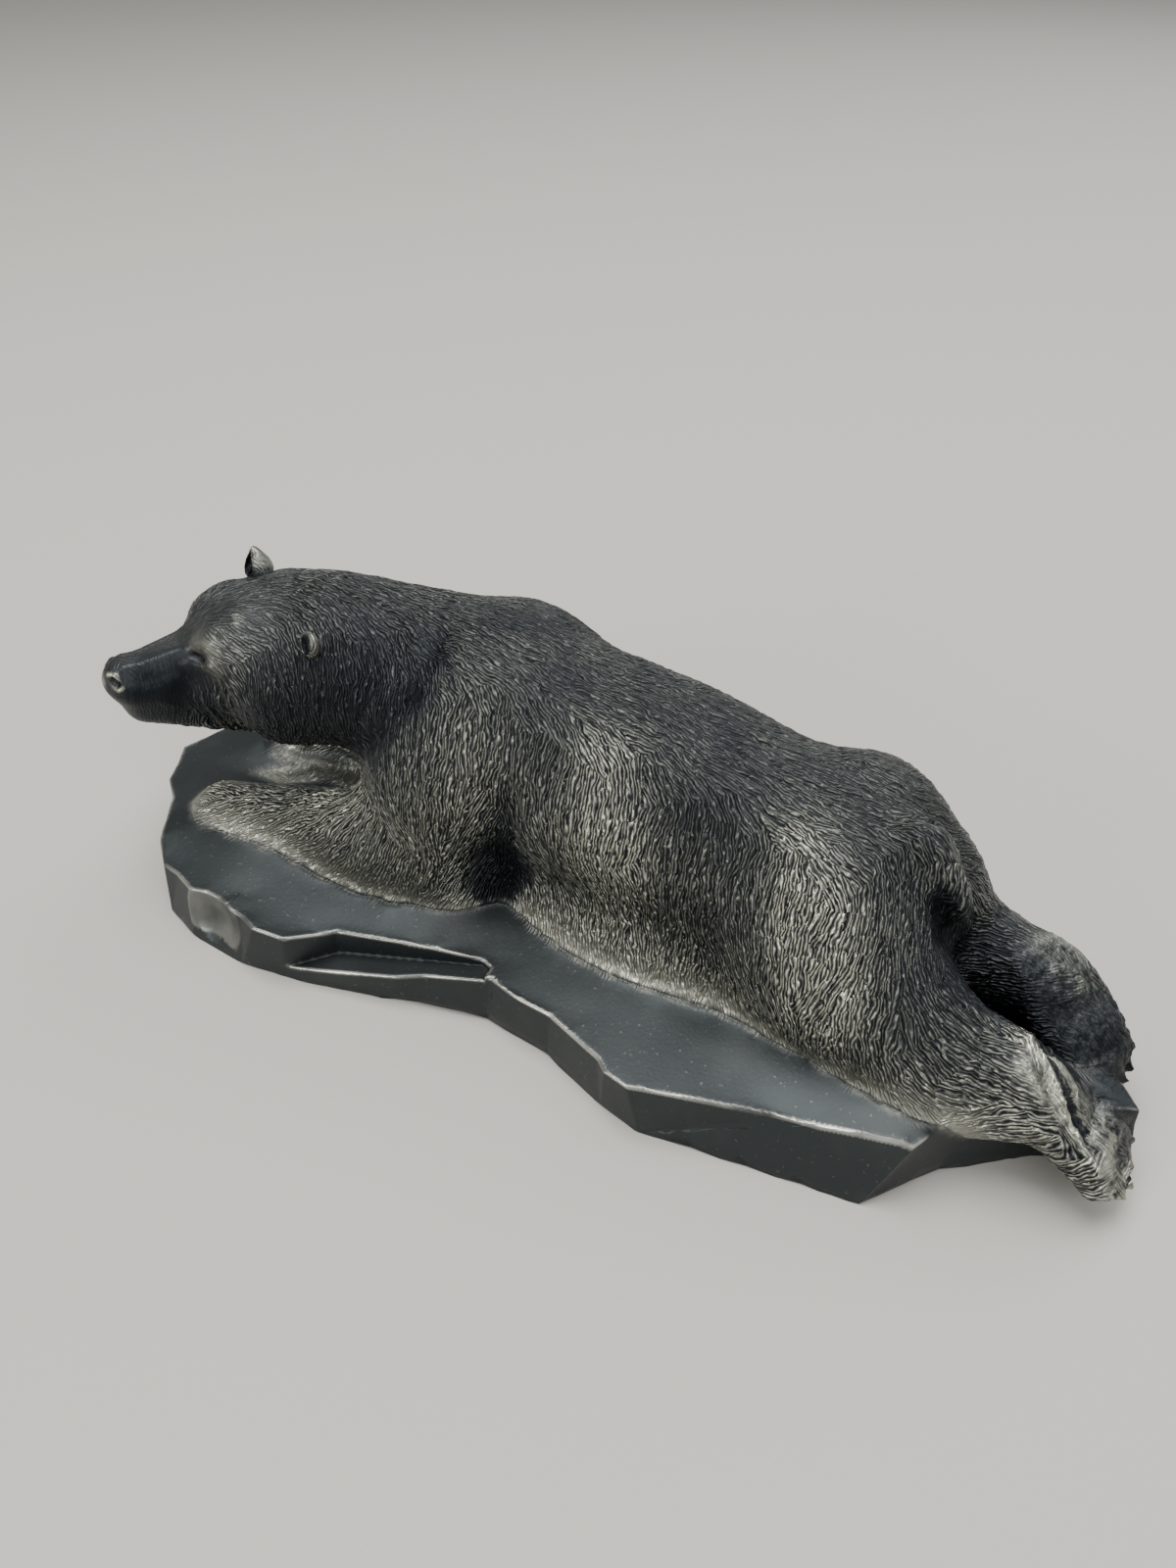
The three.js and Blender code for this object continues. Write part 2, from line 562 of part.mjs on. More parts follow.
// A block under the floe's top, wider than the floe
function underIceTop() {
  const xs = spaced(-TOP_REACH.x, TOP_REACH.x, FLOE_TOP.step);
  const ys = spaced(-TOP_REACH.y, TOP_REACH.y, FLOE_TOP.step);
  const index = (i, j) => j * xs.length + i;
  const vertices = ys.flatMap((y) => xs.map((x) => new THREE.Vector3(x, y, iceTop(x, y))));
  const count = vertices.length;
  vertices.push(...vertices.map(({ x, y }) => new THREE.Vector3(x, y, -TOP_REACH.below)));
  const triangles = [];
  const quad = (a, b, c, d) => triangles.push([a, b, c], [a, c, d]);
  const [lastX, lastY] = [xs.length - 1, ys.length - 1];
  for (let j = 0; j < lastY; j++)
    for (let i = 0; i < lastX; i++) {
      const ring = [index(i, j), index(i + 1, j), index(i + 1, j + 1), index(i, j + 1)];
      quad(...ring);
      quad(...ring.map((v) => v + count).reverse());
    }
  const rim = [
    ...xs.slice(0, -1).map((_, i) => index(i, 0)),
    ...ys.slice(0, -1).map((_, j) => index(lastX, j)),
    ...xs.slice(1).map((_, i) => index(lastX - i, lastY)),
    ...ys.slice(1).map((_, j) => index(0, lastY - j)),
  ];
  rim.forEach((v, n) => {
    const next = rim[(n + 1) % rim.length];
    quad(v, v + count, next + count, next);
  });
  return solidOf(vertices, triangles);
}

// The floe: its walls under its top, less the ledge and the chips
function floeSolid() {
  const shape = new THREE.Shape(LEDGE.plan.map(([x, y]) => new THREE.Vector2(x, y)));
  const ledge = new THREE.ExtrudeGeometry(shape, { depth: FLOE_TOP.tall, bevelEnabled: false });
  const block = floeWalls().intersect(underIceTop());
  const climb = new THREE.Matrix4().makeShear(0, LEDGE.climb, 0, 0, 0, 0).setPosition(0, 0, LEDGE.floor);
  const cut = block.subtract(solidFrom(ledge.applyMatrix4(climb)));
  return CHIPS.reduce((solid, [x, y, z, radius]) => {
    const frame = new THREE.Matrix4().makeTranslation(x, y, z);
    return solid.subtract(ballSolid([radius, radius, radius], frame, CHIP_FACETS));
  }, cut);
}

const figure = bearSolid().add(floeSolid()).getMesh();
const geometry = new THREE.BufferGeometry();
geometry.setAttribute("position", new THREE.BufferAttribute(figure.vertProperties, 3));
geometry.setIndex(new THREE.BufferAttribute(figure.triVerts, 1));
geometry.computeBoundingBox();
const { min, max } = geometry.boundingBox;
geometry.translate(-(min.x + max.x) / 2, -(min.y + max.y) / 2, -min.z);
geometry.computeVertexNormals();

const metal = new THREE.MeshStandardMaterial({ color: 0x33373a, roughness: 0.45, metalness: 0.9 });
const casting = new THREE.Mesh(geometry, metal);
casting.name = "bear_on_ice_floe";
const group = new THREE.Group();
group.add(casting);

export default group;
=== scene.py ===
"""Looks of the cast polar bear on its ice floe: fine form, carved fur, dark patina with painted shade and
highlights, studio and camera.
"""
import logging
import math
from dataclasses import dataclass, field, fields
from enum import Enum
from typing import Any, Callable, Optional, Sequence

import bmesh
import bpy
import numpy as np
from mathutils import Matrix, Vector, noise
from mathutils.kdtree import KDTree


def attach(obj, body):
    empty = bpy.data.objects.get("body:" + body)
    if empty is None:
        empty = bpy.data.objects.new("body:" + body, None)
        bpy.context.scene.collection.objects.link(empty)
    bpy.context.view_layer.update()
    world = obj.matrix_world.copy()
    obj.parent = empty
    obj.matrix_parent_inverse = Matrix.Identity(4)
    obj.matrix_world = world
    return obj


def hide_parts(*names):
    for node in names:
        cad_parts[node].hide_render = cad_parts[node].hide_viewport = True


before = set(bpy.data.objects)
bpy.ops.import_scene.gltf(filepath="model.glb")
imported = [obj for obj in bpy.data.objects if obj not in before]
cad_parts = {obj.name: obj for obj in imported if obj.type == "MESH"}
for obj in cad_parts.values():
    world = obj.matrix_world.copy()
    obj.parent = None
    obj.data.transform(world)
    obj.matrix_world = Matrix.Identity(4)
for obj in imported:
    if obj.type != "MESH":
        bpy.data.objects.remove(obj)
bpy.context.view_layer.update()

NODE = "bear_on_ice_floe"
MM = 0.001
# Height in millimetres that only the bear and the top of the ice reach.
TOP_LEVEL = 6.0
# Shares of the way moved in turn, which even a surface without shrinking it.
EVEN = (0.55, -0.56)
log = logging.getLogger("polar_bear")

Array = np.ndarray
Point = tuple[float, float, float]
Colour = tuple[float, float, float, float]
Stripe = tuple[Point, Point, float, float]
Span = tuple[float, float]


def unit(vectors: Array) -> Array:
    """Vectors scaled to length one."""
    return vectors / np.maximum(np.linalg.norm(vectors, axis=-1, keepdims=True), 1e-9)


def ease(values: Array, low: float, high: float) -> Array:
    """Smooth step from 0 at low to 1 at high."""
    t = np.clip((values - low) / (high - low), 0.0, 1.0)
    return t * t * (3 - 2 * t)


def distance_to_path(points: Array, path: Sequence[Point]) -> Array:
    """Distance from each point to a path of straight pieces.

    Args:
        points: places, one a row.
        path: corners of the path; a single corner stands for itself.

    Returns:
        One distance for each point.
    """
    corners = np.asarray(path, float)
    if len(corners) == 1:
        return np.linalg.norm(points - corners[0], axis=1)
    least = np.full(len(points), np.inf)
    for start, end in zip(corners[:-1], corners[1:]):
        span = end - start
        along = np.clip((points - start) @ span / (span @ span), 0, 1)
        least = np.minimum(least, np.linalg.norm(points - start - along[:, None] * span, axis=1))
    return least


def nearness(points: Array, path: Sequence[Point], reach: float, steepness: int = 2) -> Array:
    """1 on a path or a single place, falling to 0 past its reach, for each point."""
    return np.exp(-((distance_to_path(points, path) / reach) ** steepness))


def nearest(seeds: Array, points: Array) -> tuple[Array, Array]:
    """Finds the nearest seed to each point.

    Args:
        seeds: places to choose from, one a row.
        points: places to look from, one a row.

    Returns:
        The nearest seed's number and its distance, for each point.
    """
    tree = KDTree(len(seeds))
    for number, seed in enumerate(seeds):
        tree.insert(seed, number)
    tree.balance()
    found = [tree.find(point) for point in points]
    return np.array([hit[1] for hit in found]), np.array([hit[2] for hit in found])


def stripes_share(points: Array, stripes: Sequence[Stripe]) -> Array:
    """Sum of soft stripes, each with its start, end, reach and amount, at each point."""
    return sum(amount * nearness(points, (start, end), reach) for start, end, reach, amount in stripes)


def add_object(name: str, data: Any) -> bpy.types.Object:
    """Links a new object to the scene.

    Args:
        name: the object's name.
        data: the mesh, light or camera that it shows.

    Returns:
        The object.
    """
    made = bpy.data.objects.new(name, data)
    bpy.context.scene.collection.objects.link(made)
    return made


def node_of(tree: bpy.types.NodeTree, kind: str) -> bpy.types.Node:
    """The tree's first node of that type."""
    return next(node for node in tree.nodes if node.type == kind)


class Side(Enum):
    """Side of the bear: its left is towards -Y on the trunk."""

    LEFT = 1
    RIGHT = -1


@dataclass(frozen=True)
class HeadPlace:
    """Where the head is and which way it looks, in millimetres and degrees."""

    centre: Point = (-55.24, -5.30, 39.0)
    turn: float = 54.0
    tilt: float = 4.0

    def axes(self) -> Array:
        """Works out the head's own axes.

        Returns:
            Rows: forwards to the nose, to the head's left, and up.
        """
        turn, tilt = math.radians(180 + self.turn), math.radians(self.tilt)
        forwards = np.array([math.cos(turn), math.sin(turn), 0.0])
        aside = np.array([-math.sin(turn), math.cos(turn), 0.0])
        left = aside * math.cos(tilt) - np.array([0, 0, math.sin(tilt)])
        up = aside * math.sin(tilt) + np.array([0, 0, math.cos(tilt)])
        return np.stack([forwards, left, up])

    def local(self, points: Array) -> Array:
        """Places in the head's own axes."""
        return (points - np.array(self.centre)) @ self.axes().T


@dataclass(frozen=True)
class FootPlace:
    """A hind foot: its middle, the ways to its toes and out of its sole, half its length and width, in mm."""

    middle: Point
    toes: Point
    sole: Point
    half: Span
    bare_side: Span = (4.2, 5.8)
    bare_end: Span = (9.5, 12.0)
    bare_rise: Span = (0.0, 1.2)
    bare_top: Span = (6.0, 7.0)
    toe_start: Span = (8.5, 10.5)
    toe_side: Span = (7.0, 8.0)
    toe_thick: Span = (5.0, 6.0)

    def axes(self) -> Array:
        """Works out the foot's own axes.

        Returns:
            Rows: along to the toes, across, and out of the sole.
        """
        along = unit(np.array(self.toes))
        across = unit(np.cross(np.array(self.sole), along))
        return np.stack([along, across, np.cross(along, across)])

    def local(self, points: Array) -> Array:
        """Places in the foot's own axes."""
        return (points - np.array(self.middle)) @ self.axes().T

    def bare_share(self, points: Array) -> Array:
        """Share of bare sole at each point, 0 to 1."""
        along, across, out = self.local(points).T
        return (
            (1 - ease(np.abs(across), *self.bare_side))
            * (1 - ease(np.abs(along + 1), *self.bare_end))
            * ease(out, *self.bare_rise)
            * (1 - ease(out, *self.bare_top))
        )

    def toe_share(self, points: Array) -> Array:
        """Share of toe at each point, 0 to 1."""
        along, across, out = self.local(points).T
        return (
            ease(along, *self.toe_start)
            * (1 - ease(np.abs(across), *self.toe_side))
            * (1 - ease(np.abs(out), *self.toe_thick))
        )


@dataclass
class Casting:
    """The casting's surface as arrays, in millimetres.

    Fields: points and their normals, triangles, for each triangle whether it is ice, and for each point
    its share of ice and its distance from the line where bear and ice meet.
    """

    points: Array
    faces: Array
    ice: Array
    normals: Array = field(init=False)
    share: Array = field(init=False)
    away: Array = field(init=False)
    _known_edges: Optional[tuple[Array, Array, Array]] = field(init=False, default=None)

    def __post_init__(self) -> None:
        """Works out the first normals."""
        self.settle()

    @classmethod
    def from_node(cls, node: bpy.types.Object, crease_deg: float, ice_top: float) -> "Casting":
        """Copies the solid's surface and tells the ice from the bear.

        Args:
            node: the solid's object, which stays as it is.
            crease_deg: inward fold that parts the bear from the ice.
            ice_top: height in millimetres that the ice stays below.

        Returns:
            The casting's surface.
        """
        form = bmesh.new()
        form.from_mesh(node.data)
        bmesh.ops.remove_doubles(form, verts=form.verts, dist=2e-6)
        bmesh.ops.dissolve_degenerate(form, dist=1.2e-4, edges=form.edges)
        bmesh.ops.triangulate(form, faces=form.faces)
        form.verts.index_update()
        form.faces.index_update()
        stack = [f for f in form.faces if f.normal.z < -0.99 and f.calc_center_median().z < 1e-4]
        ice = set(stack)
        fold = -math.radians(crease_deg)
        while stack:
            for edge in stack.pop().edges:
                if len(edge.link_faces) != 2 or edge.calc_face_angle_signed() < fold:
                    continue
                for face in edge.link_faces:
                    if face not in ice and face.calc_center_median().z < ice_top * MM:
                        ice.add(face)
                        stack.append(face)
        points = np.array([v.co for v in form.verts], float) / MM
        faces = np.array([[v.index for v in f.verts] for f in form.faces], int)
        is_ice = np.array([f in ice for f in form.faces], bool)
        form.free()
        return cls(points, faces, is_ice)

    def face_normals(self) -> Array:
        """Normal of each triangle, as long as twice its area."""
        a, b, c = (self.points[self.faces[:, n]] for n in range(3))
        return np.cross(b - a, c - a)

    def settle(self) -> None:
        """Works out the points' unit normals, from the bear alone wherever it has triangles there."""
        normals = self.face_normals() * np.where(self.ice, 1e-6, 1.0)[:, None]
        total = np.zeros_like(self.points)
        for corner in self.faces.T:
            for axis in range(3):
                total[:, axis] += np.bincount(corner, weights=normals[:, axis], minlength=len(total))
        self.normals = unit(total)

    def edges(self) -> tuple[Array, Array, Array]:
        """Edges of the triangles.

        Returns:
            Each edge's two points, and for each triangle the edges of its three sides.
        """
        if self._known_edges is not None:
            return self._known_edges
        sides = np.sort(np.stack([self.faces, np.roll(self.faces, -1, 1)], 2).reshape(-1, 2), 1)
        keys, inverse = np.unique(sides[:, 0] * len(self.points) + sides[:, 1], return_inverse=True)
        ends = np.stack([keys // len(self.points), keys % len(self.points)], 1)
        self._known_edges = ends[:, 0], ends[:, 1], inverse.reshape(-1, 3)
        return self._known_edges

    def split(self, wanted: Callable[[Array, Array], Array]) -> None:
        """Splits each edge that is too long; on the bear the new point follows the curve of the surface.

        Args:
            wanted: gives the longest edge from the edges' middles and their count of ice triangles.
        """
        start, end, sides = self.edges()
        on_ice = np.bincount(sides.ravel(), weights=np.repeat(self.ice, 3), minlength=len(start))
        first, last = self.points[start], self.points[end]
        span = last - first
        middle = (first + last) / 2
        length = np.linalg.norm(span, axis=1)
        long = length > wanted(middle, on_ice)
        lean_first = (span * self.normals[start]).sum(1, keepdims=True) * self.normals[start]
        lean_last = (span * self.normals[end]).sum(1, keepdims=True) * self.normals[end]
        bend = (lean_last - lean_first) / 8
        bend *= np.minimum(1, 0.18 * length / np.maximum(np.linalg.norm(bend, axis=1), 1e-9))[:, None]
        middle[on_ice == 0] += bend[on_ice == 0]
        number = np.full(len(start), -1)
        number[long] = len(self.points) + np.arange(long.sum())
        normal = unit(self.normals[start] + self.normals[end])
        self.points = np.concatenate([self.points, middle[long]])
        self.normals = np.concatenate([self.normals, normal[long]])
        self._split_faces(number[sides])

    def _split_faces(self, cuts: Array) -> None:
        """Replaces each triangle by the ones that its cut sides make.

        Args:
            cuts: for each triangle, the new point on each of its sides, or -1.
        """
        a, b, c = self.faces.T
        p, q, r = cuts.T
        patterns = {
            0: [(a, b, c)],
            1: [(a, p, c), (p, b, c)],
            2: [(a, b, q), (a, q, c)],
            4: [(a, b, r), (r, b, c)],
            3: [(p, b, q), (a, p, q), (a, q, c)],
            6: [(a, b, q), (a, q, r), (r, q, c)],
            5: [(a, p, r), (p, b, r), (r, b, c)],
            7: [(a, p, r), (p, b, q), (r, q, c), (p, q, r)],
        }
        code = (cuts >= 0) @ np.array([1, 2, 4])
        faces, ice = [], []
        for number, pieces in patterns.items():
            chosen = code == number
            for piece in pieces:
                faces.append(np.stack(piece, 1)[chosen])
                ice.append(self.ice[chosen])
        self.faces = np.concatenate(faces)
        self.ice = np.concatenate(ice)
        self._known_edges = None

    def average(self, values: Array) -> Array:
        """Averages each point's neighbours.

        Args:
            values: one row for each point.

        Returns:
            The mean of the neighbours' rows, for each point.
        """
        start, end, _ = self.edges()
        count = len(self.points)
        share = np.bincount(start, minlength=count) + np.bincount(end, minlength=count)
        total = [
            np.bincount(start, weights=column[end], minlength=count)
            + np.bincount(end, weights=column[start], minlength=count)
            for column in values.T
        ]
        return np.stack(total, 1) / np.maximum(share, 1)[:, None]

    def relax(self, amount: Array, rounds: int, factors: Sequence[float] = (1.0,)) -> None:
        """Draws each point towards its neighbours' mean.

        Args:
            amount: how much each point may move, 0 to 1.
            rounds: number of passes.
            factors: shares of the way moved in turn in each pass.
        """
        for _ in range(rounds):
            for factor in factors:
                self.points += factor * amount[:, None] * (self.average(self.points) - self.points)
        self.settle()

    def find_share(self) -> None:
        """Works out the share of ice among the triangles at each point."""
        count = len(self.points)
        around = np.bincount(self.faces.ravel(), minlength=count)
        icy = np.bincount(self.faces.ravel(), weights=np.repeat(self.ice, 3), minlength=count)
        self.share = icy / np.maximum(around, 1)

    def distance_from(self, seeds: Array, reach: float) -> Array:
        """Distance of each point from the nearest seed, no more than the reach."""
        return np.minimum(nearest(seeds, self.points)[1], reach)

    def stands_out(self, rounds: int) -> Array:
        """Compares each point with its surroundings.

        Args:
            rounds: passes that even the surroundings.

        Returns:
            How far each point stands out of them.
        """
        level = self.points
        for _ in range(rounds):
            level = self.average(level)
        return ((self.points - level) * self.normals).sum(1)

    def to_object(self, name: str, values: dict[str, Array], strokes: Array) -> bpy.types.Object:
        """Makes the mesh object with its attributes.

        Args:
            name: the object's name.
            values: numbers or vectors for each point, by attribute name.
            strokes: across and along the coat, in millimetres, for each corner of each triangle.

        Returns:
            The object, linked to the scene.
        """
        mesh = bpy.data.meshes.new(name)
        mesh.from_pydata((self.points * MM).tolist(), [], self.faces.tolist())
        for label, data in values.items():
            kind, place = ("FLOAT_VECTOR", "vector") if data.ndim == 2 else ("FLOAT", "value")
            attribute = mesh.attributes.new(label, kind, "POINT")
            attribute.data.foreach_set(place, data.astype(np.float32).ravel())
        uv = mesh.uv_layers.new(name="strokes")
        uv.uv.foreach_set("vector", strokes.astype(np.float32).ravel())
        mesh.shade_smooth()
        return add_object(name, mesh)


@dataclass(frozen=True)
class Dent:
    """A soft dip along a path, or a swelling where its depth is below zero, in millimetres."""

    path: tuple[Point, ...]
    width: float
    depth: float

    def press(self, casting: Casting, places: Array) -> None:
        """Moves the surface in; the places are its points in the axes of the path."""
        share = nearness(places, self.path, self.width)
        casting.points -= casting.normals * (self.depth * share)[:, None]


@dataclass
class BearForm:
    """The bear's finer form: sizes of the mesh, folds of the body, and the parts of the face."""

    head: HeadPlace = field(default_factory=HeadPlace)
    midline: float = 5.7
    edge: float = 0.8
    far_edge: float = 1.3
    face_edge: float = 0.42
    face_reach: float = 12.0
    face_middle: Point = (15.0, 1.5, 0.0)
    ears: tuple[tuple[Point, float], ...] = (((-3.5, 15.3, 10.5), 3.2), ((-1.0, -9.2, 9.8), 3.8))
    ear_reach: float = 3.8
    right_ear: tuple[Point, Point] = ((-1.1, -6.5, 7.3), (-0.8, -8.8, 13.4))
    folds: tuple[Dent, ...] = (
        Dent(((-7.7, -14.5, 34), (-8.6, -14.5, 25), (-10.6, -12, 14)), 2.6, 0.9),
        Dent(((22, -13, 34), (23, -15, 24), (25, -15, 14)), 4.5, 0.8),
        Dent(((33, -5, 37), (37.5, -12, 32), (40, -16, 24), (40, -17, 15)), 4.0, -0.7),
    )
    near_folds: tuple[Dent, ...] = (
        Dent(((-29.8, -2.0, 48.6), (-28.2, -12.0, 43.6), (-34.6, -14.6, 34.5)), 2.6, -0.7),
        Dent(((-25.4, -1.1, 48.0), (-23.6, -10.2, 43.4), (-30.4, -13.2, 34.5)), 1.4, 0.8),
        Dent(((50.3, -0.2, 31.4), (51.4, -0.4, 28.6)), 1.3, 1.6),
        Dent(((48.4, 3.0, 36.4), (51.2, 2.8, 32.6), (52.2, 3.0, 29.2)), 1.5, -0.6),
    )
    face: tuple[Dent, ...] = (
        Dent(((12.2, 3.9, 4.3), (11.6, 4.5, 4.1), (11.0, 5.1, 3.9)), 0.4, 0.6),
        Dent(((11.5, 5.3, 3.1), (10.5, 6.4, 3.6), (9.8, 7.5, 3.9)), 0.8, -0.35),
        Dent(((14.1, 4.9, 2.2), (12.8, 5.8, 1.2)), 1.6, 0.5),
        Dent(((23.9, 2.1, 1.6), (23.3, 2.8, 1.2)), 0.45, 0.8),
        Dent(((24.2, 1.4, 2.2), (23.2, 2.2, 2.3)), 0.45, -0.3),
        Dent(((23.4, 3.4, 0.6), (22.8, 3.8, 1.0)), 0.45, -0.3),
        Dent(((21.8, 1.7, 3.0), (19.1, 1.7, 3.2), (15.5, 2.0, 4.0), (12.8, 2.4, 5.0)), 0.7, -0.3),
        Dent(((21.0, 3.4, 1.7), (18.5, 3.8, 1.9), (15.5, 4.2, 2.5)), 1.4, 0.5),
    )
    left_brow: Dent = Dent(((11.7, 2.9, 5.5), (10.5, 4.4, 6.6), (9.6, 6.1, 6.8)), 0.9, -0.35)
    brow_press: Dent = Dent(((1.5, -4.5, 9.4), (5.0, -2.0, 9.4)), 3.6, 0.6)
    crown_mark: Dent = Dent(((5.6, 5.2, 9.8), (5.3, 6.0, 9.6), (4.6, 6.3, 9.7)), 0.35, -0.3)
    feet: tuple[FootPlace, ...] = (
        FootPlace((72.76, -7.5, 11.4), (16, -1.4, -14.5), (0.7, 0, 0.7), (12, 6.8)),
        FootPlace((69.36, 7.3, 13.6), (12, -5, -9.5), (0.55, -0.35, 0.75), (10, 6.4)),
    )
    pads: tuple[Dent, ...] = (
        Dent(((68.4, -6.8, 18.2), (72.1, -6.9, 15.2), (73.4, -8.4, 13.6)), 1.7, -0.5),
        Dent(((77.8, -3.9, 9.9), (78.0, -7.2, 10.1), (78.4, -10.2, 9.5)), 1.7, -0.5),
        Dent(((75.0, -2.4, 12.0), (75.4, -7.0, 12.2), (75.9, -11.6, 11.8)), 0.7, 0.45),
        Dent(((66.4, 9.2, 19.6), (68.7, 9.4, 17.8), (71.0, 8.0, 15.8)), 1.6, -0.4),
        Dent(((65.2, -6.5, 20.4), (68.4, -8.2, 18.5), (71.6, -10.4, 15.3), (77.5, -13.0, 9.5)), 0.6, -0.9),
        Dent(((66.6, -5.6, 19.8), (69.7, -6.9, 17.4), (72.8, -8.9, 14.2), (77.0, -11.0, 10.4)), 0.9, 0.6),
        Dent(((65.0, 7.6, 20.2), (68.0, 5.6, 17.6), (70.6, 3.6, 14.6)), 0.7, -0.5),
    )
    claws: int = 5
    claw_fan: float = 0.72
    claw_width: float = 0.6
    claw_length: float = 1.0
    flare: float = 1.3
    flare_reach: float = 2.4
    skirt_rounds: int = 10
    shallow: tuple[tuple[Point, float, float], ...] = (
        ((4.0, 2.0, 7.0), 10.0, 0.7),
        ((11.0, 4.5, 4.0), 4.5, 0.9),
    )
    muzzle_start: Span = (9.5, 14.5)
    muzzle_lean: float = 0.25
    muzzle_reach: float = 11.0
    jaw: Point = (2.0, 5.0, -8.0)
    jaw_drop: Span = (4.0, 8.0)
    jaw_reach: float = 13.0
    jaw_fringe: float = 0.9
    bare_muzzle: float = 0.92
    bare_ear: float = 0.7
    bare_sole: float = 0.75

    def wanted_edge(self, middles: Array) -> Array:
        """Sizes the mesh: finest on the face, coarser on the far side.

        Args:
            middles: places to look at, one a row.

        Returns:
            The longest edge on the bear at each place.
        """
        ahead = np.linalg.norm(self.head.local(middles) - np.array(self.face_middle), axis=1)
        hidden = ease(middles[:, 1], self.midline + 5, self.midline + 11) * (middles[:, 2] < 40)
        body = self.edge + (self.far_edge - self.edge) * hidden
        return self.face_edge + (body - self.face_edge) * ease(ahead, self.face_reach - 3, self.face_reach)

    def ear_share(self, points: Array) -> Array:
        """Share of ear at each point, 0 to 1."""
        local = self.head.local(points)
        return np.maximum.reduce([nearness(local, (ear,), reach, 6) for ear, reach in self.ears])

    def point_ear(self, casting: Casting) -> None:
        """Draws the right ear in towards its tip and out at its foot.

        Args:
            casting: the surface to move.
        """
        local = self.head.local(casting.points)
        foot, tip = np.array(self.right_ear[0]), np.array(self.right_ear[1])
        span = tip - foot
        along = (local - foot) @ span / (span @ span)
        axis = foot + np.clip(along, 0, 1)[:, None] * span
        near = np.linalg.norm(local - axis, axis=1) < self.ear_reach
        taper = 0.95 * ease(along, 0.2, 1.05) - 0.35
        amount = np.where(near, taper * ease(along, 0.0, 0.2), 0)
        casting.points += ((axis - local) * amount[:, None]) @ self.head.axes()
        casting.settle()

    def muzzle_share(self, points: Array) -> Array:
        """Share of bare muzzle at each point, 0 to 1."""
        ahead, aside, up = self.head.local(points).T
        return ease(ahead + self.muzzle_lean * up, *self.muzzle_start) * np.exp(
            -((np.hypot(aside, up) / self.muzzle_reach) ** 8)
        )

    def sole_share(self, points: Array) -> Array:
        """Share of bare sole at each point, 0 to 1."""
        return np.maximum.reduce([foot.bare_share(points) for foot in self.feet])

    def toe_share(self, points: Array) -> Array:
        """Share of toe at each point, 0 to 1."""
        return np.maximum.reduce([foot.toe_share(points) for foot in self.feet])

    def relief_share(self, points: Array) -> Array:
        """Says how deep the coat is carved: shallow on the crown and round the eyes, deep under the jaw.

        Args:
            points: places to look at, one a row.

        Returns:
            The depth at each place, 1 on the open coat.
        """
        local = self.head.local(points)
        fringe = ease(-local[:, 2], *self.jaw_drop) * nearness(local, (self.jaw,), self.jaw_reach, 4)
        depth = 1 + self.jaw_fringe * fringe
        for middle, reach, amount in self.shallow:
            depth *= 1 - amount * nearness(local, (middle,), reach, 4)
        depth *= 1 - self.bare_muzzle * self.muzzle_share(points)
        depth *= 1 - self.bare_ear * self.ear_share(points)
        return depth * (1 - self.bare_sole * self.sole_share(points))

    def spread_skirt(self, casting: Casting) -> None:
        """Lets the coat run out over the ice where the bear lies on it.

        Args:
            casting: the surface to move.
        """
        outwards = np.where((casting.share < 0.75)[:, None], casting.normals * np.array([1, 1, 0]), 0)
        for _ in range(self.skirt_rounds):
            outwards = casting.average(outwards)
        outwards = unit(outwards) * np.minimum(1, 1.6 * np.linalg.norm(outwards, axis=1, keepdims=True))
        amount = self.flare * np.exp(-casting.away / self.flare_reach) * (casting.points[:, 2] > TOP_LEVEL)
        casting.points += outwards * amount[:, None]
        casting.settle()

    def shape_soles(self, casting: Casting) -> None:
        """Swells the pads of the hind feet and pulls claws out of the tips of their toes.

        Args:
            casting: the surface to move.
        """
        for pad in self.pads:
            pad.press(casting, casting.points)
        casting.settle()
        for foot in self.feet:
            for turn in np.linspace(-self.claw_fan, self.claw_fan, self.claws):
                tip = (0.98 * foot.half[0] * math.cos(turn), foot.half[1] * math.sin(turn), 0.9)
                Dent((tip,), self.claw_width, -self.claw_length).press(casting, foot.local(casting.points))
        casting.settle()

    def fold_body(self, casting: Casting) -> None:
        """Presses the folds into both sides of the body, then those of the near side alone.

        Args:
            casting: the surface to move.
        """
        for fold in self.folds:
            fold.press(casting, casting.points)
            other = tuple((x, 2 * self.midline - y, z) for x, y, z in fold.path)
            Dent(other, fold.width, fold.depth).press(casting, casting.points)
        for fold in self.near_folds:
            fold.press(casting, casting.points)

    def carve_face(self, casting: Casting) -> None:
        """Shapes eyes, nostrils and muzzle on both sides of the face, then the marks of one side alone.

        Args:
            casting: the surface to move.
        """
        for side in Side:
            for mark in self.face:
                path = tuple((f, l * side.value, u) for f, l, u in mark.path)
                Dent(path, mark.width, mark.depth).press(casting, self.head.local(casting.points))
            casting.settle()
        for mark in (self.left_brow, self.crown_mark, self.brow_press):
            mark.press(casting, self.head.local(casting.points))
        casting.settle()


